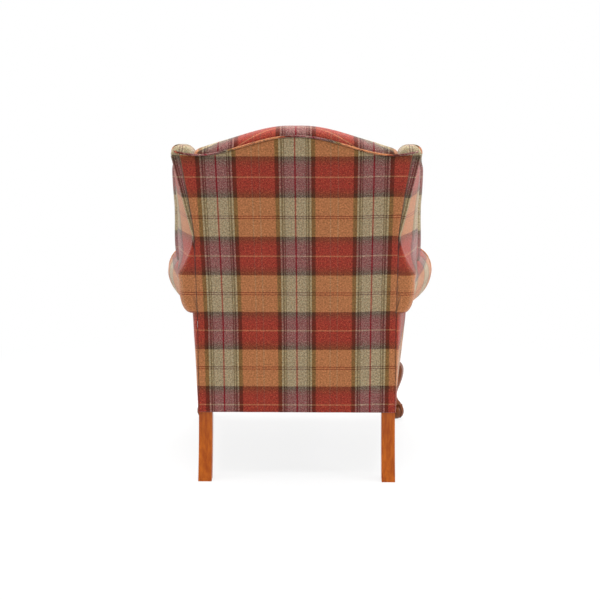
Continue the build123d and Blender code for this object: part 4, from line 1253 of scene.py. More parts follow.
@dataclass
class Back(Upholstery):
    """The outside back, its welt, and the inside back with the crest."""

    welt_radius: float = 2.7
    fullness: float = 3.0
    edge_radius: float = 5.0
    edge_wall: float = 5.0
    edge_sink: float = 12.0
    unevenness: float = 0.35
    cloth_middle: float = 600.0
    cloth_reach: float = 310.0
    cloth_tilt: float = 2.5
    cloth_spread: float = 0.017
    cloth_pull: float = 3.0
    welt_proud: float = 2.0
    crease: float = 0.085
    crest_line: float = 52.0

    def rim(self) -> tuple[Array, Array]:
        """How far in and how deep the cloth is as it turns over an edge: a wall, then a quarter circle.

        Returns:
            How far in from the edge, and how deep below the face.
        """
        turn = np.linspace(0, np.pi / 2, 7)
        inset = self.edge_radius * (1 - np.cos(turn))
        depth = self.edge_radius * (1 - np.sin(turn))
        wall = (self.edge_radius + self.edge_wall, self.edge_radius + 1.5)
        return np.concatenate([np.zeros(2), inset]), np.concatenate([wall, depth])

    def outside(self) -> None:
        """The outside back: a flat panel stretched over the frame, its edges turned in.

        x runs from seam to seam at each height and z from the hem to the camel-back edge. The
        face lies on the leaning back and swells by one less the fourth power of x and z.
        """
        f = self.form
        inset, depth = self.rim()
        middle = np.linspace(0, 1, 90)[1:-1]
        r = self.edge_radius

        def spread(low: Array, high: Array) -> Array:
            """Places between two edges, with the turned rims at both ends.

            Args:
                low: the first edge.
                high: the last edge.

            Returns:
                A row of places for each pair of edges.
            """
            low, high = low[..., None], high[..., None]
            inner = low + r + middle * (high - low - 2 * r)
            return np.concatenate([low + inset, inner, high - inset[::-1]], axis=-1)

        deep = np.concatenate([depth, np.zeros(len(middle)), depth[::-1]])
        low_z = f.rail_bottom - f.hem
        count = len(deep)
        x = np.broadcast_to(spread(np.array([-f.back_half]), np.array([f.back_half])), (count, count))
        for _ in range(3):
            z = spread(np.full(count, low_z), f.pipe_z(x[count // 2])).T
            half = f.seam_x(z[:, count // 2])
            x = spread(-half, half)
        top = f.pipe_z(x[-len(depth)])
        z = spread(np.full(count, low_z), top).T
        z = z + (f.pipe_z(x) - top) * smooth((z - 900.0) / 100.0)
        half = f.seam_x(z)
        x = x * half / f.seam_x(z[:, count // 2])[:, None]
        across = x / half
        up = (z - low_z) / (f.pipe_z(x) - low_z)
        swell = self.fullness * (1 - across**4) * (1 - (2 * up - 1) ** 4)
        sink = np.hypot(deep[None, :], deep[:, None])
        uneven = ripples(x, z, self.unevenness, 3) * (1 - across**6)
        y = f.back_y(z) + swell + uneven - np.minimum(sink, self.edge_sink)
        rise = (z - self.cloth_middle) / self.cloth_reach
        rise = np.where(rise > 0, rise, 0.35 * rise)
        pulled = z - self.cloth_pull * smooth((-x - 150.0) / 100.0)
        cloth = point((x - self.cloth_tilt * rise) * (1 - self.cloth_spread * rise), f.row_place(pulled))
        self.cover("outside_back_cover", "outside_back", point(x, y, z), cloth, (0, 1, 0))

    def welt(self) -> None:
        """The welt along the camel-back edge, out to the wings' rear corners."""
        f = self.form
        half = f.corner_half - 9.0
        x = np.linspace(-half, half, 220)
        z = f.pipe_z(x) + self.welt_radius
        drop = np.maximum(0.0, np.abs(x) - half + 8.0)
        path = point(x, f.back_y(z) - self.welt_radius + self.welt_proud - 0.6 * drop, z)
        self.cord("crest_welt_cord", path, nodes=("crest_welt",))

    def inside_section(self, x: Array) -> tuple[Array, Array]:
        """The inside back in section at stations across it.

        Args:
            x: the stations.

        Returns:
            The skin from the seat up over the crest to the welt, and the way back behind it.
        """
        f = self.form
        z0 = np.full_like(x, f.deck_top + f.fit)
        gap = 2 * f.strap_thick + 2 * f.fit
        top = f.crest_top_z(x)
        rail = f.pipe_z(x) + f.fit
        rear = f.back_y(rail) - self.welt_radius - 1.0
        full = f.back_pad_crown * (1 - (x / f.pad_half) ** 2)
        front_z = top - f.crest_nose
        mid_z = np.full_like(x, f.arm_height - f.back_mid_drop)
        high_y = f.frame_y(front_z) - f.back_pad_top - full
        mid_y = f.frame_y(mid_z) - f.back_pad_mid - full
        low_y = f.post_front_low - f.back_pad_low - full
        crown_y = rear - f.crest_crown
        swell = point((mid_y + low_y) / 2 - f.lumbar, (mid_z + z0) / 2)
        flat = point((high_y + mid_y) / 2 - 5.0, (front_z + mid_z) / 2)
        skin = joined([
            bow(point(low_y, z0), swell, point(mid_y, mid_z), 30),
            bow(point(mid_y, mid_z), flat, point(high_y, front_z), 30),
            bend(point(high_y, front_z)[:, ::-1], point(crown_y, top)[:, ::-1], 16)[:, :, ::-1],
            elbow(point(rear, rail + f.welt), point(crown_y, top), 12)[:, ::-1],
        ])
        under_rail = point(f.frame_y(rail) - gap, rail)
        rake = point(f.post_front_low - gap + 0 * x, f.rake_start)
        corners = [point(rear, rail + f.welt), point(rear, rail), under_rail, rake, point(low_y, z0)]
        return skin, through(corners, (3, 5, 20, 10))

    def inside(self) -> None:
        """The inside back: the section carried across, its ends rounded into the wings' creases."""
        f = self.form
        x = f.pad_half * np.sin(np.linspace(-np.pi / 2, np.pi / 2, 121))
        skin, behind = self.inside_section(x)
        skin = softened(skin, 4, 1)
        away = 1 - np.abs(x) / f.pad_half
        turn = rounded(np.clip(1 - away / self.crease, 0, 1))
        hub = behind[:, 12:13]
        long = travelled(skin)
        arm_cut = smooth((f.arm_height + 14.0 - skin[..., 1]) / 26.0)
        narrow = (f.arm_inner_x(np.full_like(x, f.post_front_low)) - f.fit) / f.pad_half
        near_end = (np.abs(x) / f.pad_half)[:, None] ** 4
        give = (1 - narrow[:, None]) * near_end
        crest = smooth((skin[..., 1] - 700.0) / 200.0)
        pull = turn[:, None] * blend(20.0, 11.0, crest)
        skin = skin + unit(hub - skin) * pull[..., None]
        skin[..., 0] += ripples(x[:, None], long, 0.7, 8) * (1 - turn[:, None])
        loop = np.concatenate([skin, behind[:, 1:-1]], axis=1)
        by_arm = behind[:, 1:-1, 1] < f.arm_height + 14.0
        wide = 1 - give * np.concatenate([arm_cut, by_arm], axis=1)
        p = point(x[:, None] * wide, loop[..., 0], loop[..., 1])
        crown = travelled(skin)
        start = f.row_place(f.crest_top_z(0.0))
        v = crown - crown[len(x) // 2, -14] + start + self.crest_line
        tail = np.repeat(v[:, -1:], behind.shape[1] - 1, axis=1)
        cloth = point(x[:, None], np.concatenate([v, tail], axis=1))
        self.pad("inside_back_pad", "inside_back", p, cloth, 0.8)

    def make(self) -> None:
        """Builds the back's covers."""
        self.outside()
        self.welt()
        self.inside()


# ---- the wings ---------------------------------------------------------------------------


@dataclass
class Wings(Upholstery):
    """The outside covers of the wings and their stuffed inner parts."""

    rows: int = 70
    cap_rows: int = 12
    fullness: float = 4.0
    unevenness: float = 0.4
    lap_sink: float = 6.0
    lap: float = 38.0
    foot_fullness: float = 7.0
    foot_slant: float = 62.0
    corner_cloth: float = 44.0
    side_pull: float = 0.02
    top_cloth: float = 80.0
    nose_cloth: float = 108.0

    def low(self, z: Array) -> Array:
        """How far a height is down from the wing's knee to its foot."""
        f = self.form
        return np.clip((f.wing_knee - z) / (f.wing_knee - f.wing_base), 0.0, 1.2)

    def corner(self, z: Array) -> Array:
        """The rear corner: drawn in at the waist, out over the arm and at the top.

        Args:
            z: the heights.

        Returns:
            Its place across at each height.
        """
        f = self.form
        down = np.clip((f.wing_waist - z) / (f.wing_waist - f.wing_base), 0.0, 1.3)
        up = np.clip((z - f.wing_waist) / (f.wing_top - f.wing_cap - f.wing_waist), 0.0, 1.3)
        waist = f.back_half + f.wing_waist_out
        return waist + (f.wing_foot_out - f.wing_waist_out) * down**1.6 + (f.corner_half - waist) * up**0.95

    def front(self, z: Array, drop: float) -> Array:
        """The front edge: it sweeps forward to the arm below and rounds back at the top.

        Args:
            z: the heights.
            drop: how far below the chair's top the edge starts to slope back.

        Returns:
            Its place at each height.
        """
        f = self.form
        shoulder = f.height - f.wing_shoulder_drop
        start = f.height - drop
        high = np.clip((z - shoulder) / (start - shoulder), 0.0, 1.0)
        lift = f.wing_round * rounded(high)
        slope = f.wing_slope * np.maximum(0.0, (z - start) / (f.wing_top - start))
        return f.wing_front - f.wing_sweep * self.low(z) ** 2.4 + lift + slope

    def outermost(self, z: Array) -> Array:
        """The outermost point: it leans out, and follows the side as the front rounds back.

        Args:
            z: the heights.

        Returns:
            Its place across at each height.
        """
        f = self.form
        nominal = f.wing_out + f.wing_lean * np.maximum(0.0, z - f.height + f.wing_lean_drop)
        nominal = nominal + self.foot_fullness * self.low(z) ** 1.2
        corner = self.corner(z) + 1.0
        side_y = f.back_y(z) - 9.0
        radius = f.wing_thick / 2
        share = (side_y - self.front(z, f.wing_side_drop) - radius) / (side_y - f.wing_front - radius)
        return blend(corner, nominal, np.minimum(share, 1.0))

    def places(self, z: Array) -> dict:
        """The main points of the wing in plan.

        Args:
            z: the heights.

        Returns:
            Each point's place across or along, by name.
        """
        f = self.form
        front = self.front(z, f.wing_slope_drop)
        corner = self.corner(z)
        seam = f.seam_x(z) + 2 * f.fit
        foot = np.clip((f.wing_waist - z) / (f.wing_waist - f.wing_base), 0.0, 1.2) ** 1.6
        side_y = f.back_y(z) - blend(9.0, 26.0, foot)
        radius = f.wing_thick / 2
        out = self.outermost(z)
        return {
            "back": f.back_y(z),
            "front": front,
            "corner": corner,
            "seam": seam,
            "rear_in": np.maximum(corner - f.wing_skin, seam + 1.0),
            "side_x": corner + 1.0 + f.wing_foot_puff * foot,
            "side_y": side_y,
            "roll_y": np.minimum(front + f.wing_roll, side_y - 12.0),
            "roll_x": out - f.wing_roll_proud,
            "out": out,
            "start_y": front + radius,
            "deep": np.maximum(f.frame_y(z) - f.back_pad_top, front + radius + 6.0),
        }

    def outside(self, side: Side) -> None:
        """The outer cover: a strip on the back, the corner, and the splayed side to the roll.

        Each height is a line in plan from the seam round the corner to the roll, and the cover
        swells a little between its edges. Point 20 of the line is the middle of the corner, and
        points 25 to 64 are the side.

        Args:
            side: the left or the right.
        """
        f = self.form
        z = np.concatenate([np.linspace(f.wing_base - self.lap, f.wing_base, 9)[:-1],
                            np.linspace(f.wing_base, f.wing_top - f.wing_cap + 1.0, self.rows)])
        q = self.places(np.maximum(z, f.wing_base))
        sink = self.lap_sink * smooth((f.wing_base - 12.0 - z) / (self.lap - 12.0))
        q["back"] = f.back_y(z) + 1.0 * smooth((f.wing_waist - z) / 60.0) - sink
        q["side_y"] = q["side_y"] + f.back_y(z) - f.back_y(np.maximum(z, f.wing_base))
        q["corner"], q["side_x"] = q["corner"] - sink / 2, q["side_x"] - sink
        turn_x = blend(q["corner"], q["side_x"], 0.7) - 0.7
        turn_y = blend(q["back"], q["side_y"], 0.28)
        corner = point(q["corner"] - 3.0, q["back"])
        elbow_at = point(q["side_x"], q["side_y"])
        roll = point(q["roll_x"], q["roll_y"])
        line = joined([
            run(point(q["seam"], q["back"] - 9.0), point(q["seam"], q["back"] - 2.0), 4),
            run(point(q["seam"] + 0.6, q["back"] - 0.6), corner, 12),
            bow(corner, point(turn_x, turn_y), elbow_at, 12),
            run(elbow_at, roll, 40),
            run(roll, point(q["roll_x"] - 5.0, q["roll_y"] - 3.0), 4),
        ])
        line = softened(line, 2, 1)
        long = travelled(line)
        u = long - long[:, 20:21]
        along = np.zeros_like(u)
        along[:, 25:65] = np.sin(np.pi * np.linspace(0, 1, 40))
        rise = ((z - z[0]) / (z[-1] - z[0]))[:, None]
        puff = self.fullness * along * (1 - (2 * rise - 1) ** 4)
        outward = unit(point(-np.gradient(line[..., 1], axis=1), np.gradient(line[..., 0], axis=1)))
        line = line + outward * (puff + ripples(u, z[:, None], self.unevenness, 5) * along)[..., None]
        p = mirrored(point(line[..., 0], line[..., 1], z[:, None]), side)
        slant = self.foot_slant * smooth((f.wing_waist - z) / 90.0)
        rows = f.row_place(z)[:, None] - self.side_pull * np.maximum(u, 0.0)
        cloth = point(u + slant[:, None] + self.corner_cloth, rows)
        way = (0.6 * side.value, 0.8, 0)
        self.cover("outside_wing_cover" + side.node, "outside_wing" + side.node, p, cloth, way)

    def ring(self, q: dict, inner: Array, rear: Array, rear_out: Array) -> Array:
        """The stuffed part in plan: round its front edge, along its inner face and back behind.

        Args:
            q: the wing's main points.
            inner: its inner face.
            rear: where the inner face ends.
            rear_out: the line from there out to the roll.

        Returns:
            The closed line at each height.
        """
        radius = np.minimum(self.form.wing_thick / 2, (q["out"] - inner - 1.0) / 2)
        mid_x = q["out"] - radius
        flank = point(mid_x - radius, q["start_y"])
        swell = point(q["out"] - 1.0, (q["roll_y"] + q["start_y"]) / 2)
        start, nose = point(q["roll_x"], q["roll_y"]), point(mid_x, q["front"])
        out = point(q["out"], q["start_y"])
        dish = point(blend(flank[:, 0], inner, 0.5) + 4.0, blend(q["start_y"], q["deep"], 0.5))
        return joined([
            bow(start, swell, out, 12),
            elbow(out, nose, 12),
            bend(nose, flank, 12),
            bow(flank, dish, point(inner, q["deep"]), 16),
            run(point(inner, q["deep"]), point(inner, rear), 8),
            rear_out,
        ])

    def inside(self, side: Side) -> None:
        """The stuffed wing: rings stacked up its height, drawn in to a rounded cap.

        Args:
            side: the left or the right.
        """
        f = self.form
        z = np.linspace(f.wing_base, f.wing_top - f.wing_cap, self.rows)
        q = self.places(z)
        inner = np.full_like(z, f.pad_half + f.fit)
        by = q["back"] - f.cover - 4.0
        corners = [point(inner, by), point(q["rear_in"] - 2.0, by),
                   point(q["roll_x"] - f.wing_skin, q["roll_y"]), point(q["roll_x"], q["roll_y"])]
        body = self.ring(q, inner, by, through(corners, (10, 16, 3)))
        up = np.sin(np.linspace(0, np.pi / 2, self.cap_rows + 1))[1:] * 0.985
        inset = f.wing_cap * rounded(up)
        zc = f.wing_top - f.wing_cap + f.wing_cap * up
        c = self.places(f.wing_top - f.wing_cap + 0.6 * f.wing_cap * up)
        for key, share in (("roll_x", -1.0), ("out", -1.0), ("front", 1.0), ("start_y", 0.5), ("deep", 0.5)):
            c[key] = c[key] + share * inset
        rear = f.back_y(zc) - inset
        inner_c = f.pad_half + f.fit + inset
        corner = c["corner"] - inset
        turn_in, turn_out = point(corner - 3.0, rear), point(corner + 1.0, rear - 9.0)
        cap = self.ring(c, inner_c, rear, joined([
            run(point(inner_c, rear), turn_in, 10),
            bow(turn_in, point(corner, rear - 2.5), turn_out, 6),
            run(turn_out, point(c["roll_x"], c["roll_y"]), 13),
        ]))
        body = softened(softened(body[:, :-1], 3, 1, closed=True), 2, 0)
        cap = softened(cap[:, :-1], 3, 1, closed=True)
        ring = np.concatenate([body, cap])
        zs = np.concatenate([z, zc])
        p = mirrored(point(ring[..., 0], ring[..., 1], zs[:, None]), side)
        long = travelled(np.concatenate([ring, ring[:, :1]], axis=1))
        rises = travelled(point(zs, ring[:, 5, 0])[None])[0] + f.row_place(zs[:1])
        cloth = point(long - long[:, 30:31] + self.nose_cloth, rises[:, None])
        obj = self.pad("inside_wing_pad" + side.node, "inside_wing" + side.node, p, cloth, 0.8)

        def over(points: Array) -> Array:
            """The cloth goes over the top from the inner face to the outer edge."""
            across = f.corner_half - np.abs(points[:, 0])
            return point(f.back_y(points[:, 2]) - points[:, 1] - 25.0, self.top_cloth + across)

        patch_map(obj, lambda c: c[:, 2] > f.wing_top - f.wing_cap + 0.5, over)

    def make(self) -> None:
        """Builds both wings."""
        for side in Side:
            self.outside(side)
            self.inside(side)


# ---- the arms ----------------------------------------------------------------------------


@dataclass
class Arms(Upholstery):
    """The stuffed inside arms with their rolls, the outside arms and the facings."""

    corner: float = 34.0
    fullness: float = 2.5
    end_cloth: float = 46.0
    end_line: float = 236.0
    solid_from: float = 196.0
    solid_run: float = 40.0
    lean_from: float = 120.0
    lean_run: float = 110.0
    plug_in: float = 12.0
    first_row: float = 30.0
    first_line: float = 15.0
    side_line: float = 62.0
    facing_line: float = 375.0
    pad_edge: float = 15.0
    plate_step: float = 6.0
    unevenness: float = 0.8

    def places(self, y: Array) -> dict:
        """The main points of the arm's section: the roll narrows and straightens to the back.

        Args:
            y: the stations.

        Returns:
            Each point's place across or up, by name.
        """
        f = self.form
        share = smooth((y - f.arm_front) / (f.back_low - f.arm_front))
        rear = smooth((y - 190.0) / 50.0)
        out = blend(f.width / 2, f.rear_roll_out, share)
        half = blend(f.roll_half, f.rear_roll_half, share)
        low_z = blend(f.roll_z - f.roll_half_tall, f.rear_roll_z - f.rear_roll_deep, share)
        return {
            "in": f.arm_inner_x(y),
            "round": blend(f.arm_round, f.rear_round, share),
            "flat": out - half + f.rear_roll_flat * share,
            "out": out,
            "upper": blend(f.roll_z, f.rear_roll_z, share) + f.roll_ease,
            "mid": blend(f.roll_z, f.rear_roll_z, share),
            "low_x": out - half - 8.0 * rear,
            "full": 1.7 + 0.9 * rear,
            "low_z": low_z,
            "tuck_x": out - half - blend(f.arm_tuck_in, f.rear_tuck_in, share) - 3.0 * rear,
            "fold_x": out - half - blend(blend(f.arm_tuck_in, f.rear_tuck_in, share), 14.0, rear),
            "tuck_z": low_z + f.arm_tuck_up,
            "board_x": out - blend(f.arm_board_back, f.rear_board_back, share),
        }

    def leaning(self, y: Array) -> Array:
        """How far each station's row leans with the back, from 0 to 1, as a column."""
        return smooth((y - self.lean_from) / self.lean_run)[:, None]

    def skin(self, q: dict, z0: Array, inset: Array) -> Array:
        """The section's outer line from its inner foot over the roll to the tacking line.

        Args:
            q: the arm's main points.
            z0: the height of the foot.
            inset: how far the roll's end is drawn in.

        Returns:
            The line at each station.
        """
        f = self.form
        top = f.arm_height - 0.2 * inset
        round_z = top - q["round"]
        shoulder = point(q["in"] + q["round"], top)
        flat = q["flat"] - inset / 2
        out = q["out"] - inset
        low_x = q["low_x"] - inset / 2
        low_z = q["low_z"] + 0.3 * inset
        closing = inset / f.rear_roll_turn
        crown = point(blend(shoulder[:, 0], flat, 0.5), top + 2.5 * (1 - closing))
        tack = point(q["fold_x"] - inset / 2, blend(q["tuck_z"], low_z, closing))
        return joined([
            run(point(q["in"], z0), point(q["in"], round_z), 16),
            elbow(point(q["in"], round_z), shoulder, 9),
            bow(shoulder, crown, point(flat, top), 8),
            bend(point(flat, top), point(out, q["upper"]), 14),
            run(point(out, q["upper"]), point(out, q["mid"]), 3),
            elbow(point(out, q["mid"]), point(low_x, low_z), 20, 2 / q["full"][:, None]),
            run(point(low_x, low_z), tack, 5),
        ])

    def inside(self, side: Side) -> None:
        """The stuffed arm: its section carried from the facing to the back.

        Rows stand upright at the front and lean with the back at the rear, and the last rows
        are drawn in along a quarter circle to close the end of the roll.

        Args:
            side: the left or the right.
        """
        f = self.form
        y0 = f.arm_front + f.facing_pad + f.fit
        turn = f.rear_roll_turn
        y = np.concatenate([np.linspace(y0, f.back_low - turn, 80)[:-1],
                            f.back_low - turn + turn * np.sin(np.linspace(0, np.pi / 2, 12))])
        inset = turn * rounded(np.clip((y - f.back_low + turn) / turn, 0, 1))
        q = self.places(y)
        solid = smooth((y - self.solid_from) / self.solid_run)
        foot = blend(f.deck_top + f.fit, f.rear_roll_z - f.rear_roll_deep + 4.0, solid)
        q["in"] = blend(q["in"], f.back_half + f.fit, solid)
        q["round"] = q["round"] * (1 - 0.85 * solid)
        skin = softened(self.skin(q, foot, inset), 2, 1)
        head = f.roll_z - f.stump_head
        rim = blend(q["board_x"] + f.fit, q["fold_x"] - self.plug_in, smooth(3.0 * solid))
        high = f.arm_height - f.arm_top_pad + f.fit
        inner = q["in"] + f.arm_pad
        hook = [point(rim, head), point(rim, high), point(inner, high), point(inner, f.deck_top + f.fit)]
        end_rim = q["fold_x"] - self.plug_in * smooth((y - f.back_low + turn) / 20.0 + 1.0)
        plug = [point(blend(end_rim, q["in"], share), foot) for share in (0.2, 0.4, 0.6, 0.8)]
        back = [blend(a, b, solid[:, None]) for a, b in zip(hook, plug)]
        loop = np.concatenate([skin, np.stack(back, 1)], axis=1)
        lean = f.leaned(loop[..., 1]) * self.leaning(y)
        long = travelled(skin)
        level = ripples(y[:, None], long, self.unevenness, 17) * smooth((long[:, -1:] - long) / 40.0)
        loop[:, :skin.shape[1], 0] += level * smooth((loop[:, :skin.shape[1], 0] - 330.0) / 40.0)
        p = mirrored(point(loop[..., 0], y[:, None] + lean, loop[..., 1]), side)
        shift = long - long[:1, -1:] + (foot - foot[0])[:, None]
        last = np.searchsorted(y, self.solid_from)
        behind = shift[last, -1] - (long[:, -1:] - long)
        outward = smooth((loop[:, :skin.shape[1], 0] - q["in"][:, None]) / (q["out"] - q["in"])[:, None])
        shift = np.where((y > self.solid_from)[:, None], blend(shift, behind, outward), shift)
        v = np.concatenate([shift, np.repeat(shift[:, -1:], len(back) + 1, axis=1)], axis=1)
        cloth = point((y - y0)[:, None] + self.first_row, v + self.first_line)
        obj = self.pad("inside_arm_pad" + side.node, "inside_arm" + side.node, p, cloth, 0.85)
        limit = f.back_low - self.end_cloth

        def place(points: Array) -> Array:
            """The end of the roll takes its rows from the height, as the back panel does.

            Args:
                points: the corner points of the faces.

            Returns:
                Their places on the cloth.
            """
            flat_y = points[:, 1] - f.leaned(points[:, 2])
            round_corner = np.abs(points[:, 0]) - self.end_line + f.back_low - flat_y
            return point(round_corner, f.row_place(points[:, 2]))

        patch_map(obj, lambda c: c[:, 1] - f.leaned(c[:, 2]) > limit, place)

    def outside(self, side: Side) -> None:
        """The cover below the roll: a straight line in section from the rail to the tacking line.

        It runs from the facing to the back and turns the corner of the back post.

        Args:
            side: the left or the right.
        """
        f = self.form
        y0 = f.arm_front + f.facing_pad + f.fit
        turn = np.concatenate([np.zeros(60), np.linspace(0.0, np.pi / 2, 13)[1:]])
        y = np.concatenate([np.linspace(y0, f.back_low - self.corner, 60),
                            f.back_low - self.corner * (1 - np.sin(turn[60:]))])
        q = self.places(y)
        base = np.maximum(f.side_rail_x(y), f.back_half) + f.side_cover
        z_low = f.rail_bottom - f.hem * (y - f.arm_front) / (f.back_low - f.arm_front)
        low = point(base, z_low)
        high = point(q["tuck_x"], q["tuck_z"] + 4.0)
        rim = 3.0
        line = joined([
            bow(low + (-rim, rim), low + (-0.3 * rim, 0.3 * rim), low + (0.0, rim), 5),
            run(low + (0.0, rim), high, 50),
        ])
        share = np.concatenate([np.zeros(4), np.linspace(0, 1, 50)])[None]
        along = np.clip((y - y0) / (f.back_low - y0), 0, 1)[:, None]
        puff = self.fullness * np.sin(np.pi * share) * np.sin(np.pi * along)
        line[..., 0] += puff + ripples(y[:, None], share * 300, 0.4, 23) * np.sin(np.pi * share)
        line[..., 0] -= (line[..., 0] - f.back_half - f.fit) * (1 - np.cos(turn))[:, None]
        lean = f.leaned(line[..., 1]) * self.leaning(y)
        p = point(line[..., 0], y[:, None] + lean, line[..., 1])
        girth = travelled(p[:, -8:-7, :2].transpose(1, 0, 2))[0]
        cloth = point((girth[-1] - girth)[:, None] + self.side_line, f.row_place(line[..., 1]))
        way = (side.value, 0, 0)
        self.cover("outside_arm_cover" + side.node, "outside_arm" + side.node, mirrored(p, side), cloth, way)

    @staticmethod
    def depth_in(points: Array, outline: Array) -> Array:
        """The distance from each point to the nearest side of a closed outline.

        Args:
            points: the points.
            outline: the outline's corners.

        Returns:
            The distances.
        """
        a, b = outline, np.roll(outline, -1, 0)
        way = b - a
        t = ((points[:, None] - a) * way).sum(-1) / (way**2).sum(-1)
        near = a + np.clip(t, 0, 1)[..., None] * way
        return np.linalg.norm(points[:, None] - near, axis=-1).min(1)

    def plate(self, outline: Array) -> tuple[Array, Array]:
        """Triangles that fill a closed outline, small at its edge for the rounding there.

        Args:
            outline: its points in a plane.

        Returns:
            The points and the triangles.
        """
        ahead = unit(np.roll(outline, -1, 0) - np.roll(outline, 1, 0))
        area = np.sum(outline[:, 0] * np.roll(outline[:, 1], -1) - outline[:, 1] * np.roll(outline[:, 0], -1))
        inward = point(-ahead[:, 1], ahead[:, 0]) * np.sign(area)
        inner = []
        for inset in self.pad_edge * (1 - np.cos(np.linspace(0, np.pi / 2, 7)))[1:]:
            ring = outline + inward * inset
            inner.append(ring[self.depth_in(ring, outline) > 0.93 * inset])
        low, high = outline.min(0), outline.max(0)
        x, z = np.meshgrid(*(np.arange(low[k], high[k], self.plate_step) for k in (0, 1)))
        field_points = point(x.ravel(), z.ravel())
        inner.append(field_points[self.depth_in(field_points, outline) > self.pad_edge + self.plate_step / 2])
        points = np.concatenate([outline, *inner])
        rim = list(range(len(outline)))
        filled = delaunay_2d_cdt([Vector(p) for p in points.tolist()], [], [rim], 1, 1e-5)
        return np.array([tuple(v) for v in filled[0]]), np.array(filled[2])

    def facing(self, side: Side) -> None:
        """The padded front of the arm: a mushroom outline, domed in from its edge.

        Args:
            side: the left or the right.
        """
        f = self.form
        y = np.array([f.arm_front])
        q = self.places(y)
        z0 = np.array([f.deck_top + f.fit])
        edge = self.skin(q, z0, np.zeros(1))[0]
        foot = np.array([f.side_rail_x(y)[0] + f.cover, z0[0]])
        down = np.linspace(edge[-1], foot, 16)[1:]
        under = np.linspace(foot, edge[0], 8)[1:-1]
        outline = np.concatenate([edge, down, under])
        outline = softened(outline[None], 1, 1, closed=True)[0]
        flat, faces = self.plate(outline)
        far = self.depth_in(flat, outline)
        dome = np.sqrt(1 - (1 - np.clip(far / self.pad_edge, 0, 1)) ** 2)
        y_front = f.arm_front + f.facing_pad * (1 - dome) - 1.5 * smooth(far / 45.0)
        y_rear = f.arm_front + f.facing_pad
        points = np.concatenate([point(flat[:, 0], y, flat[:, 1]) for y in (y_front, y_rear)])
        both = np.concatenate([faces, faces[:, ::-1] + len(flat)])
        cloth = point(points[:, 0] - self.facing_line, f.row_place(points[:, 2]))[both].reshape(-1, 2)
        obj = Maker.mesh("arm_facing_pad" + side.node, mirrored(points, side), both.tolist(), cloth)
        Maker.weld(obj, 2e-5)
        Maker.outward(obj)
        self.wardrobe.dress(obj, "tartan_wool", nodes=("arm_facing" + side.node,))
        rim = outline[:edge.shape[0] + 15]
        self.cord("arm_facing_welt" + side.node, mirrored(point(rim[:, 0], y_rear - 1.5, rim[:, 1]), side))

    def make(self) -> None:
        """Builds both arms."""
        for side in Side:
            self.inside(side)
            self.outside(side)
            self.facing(side)


# ---- the seat ----------------------------------------------------------------------------


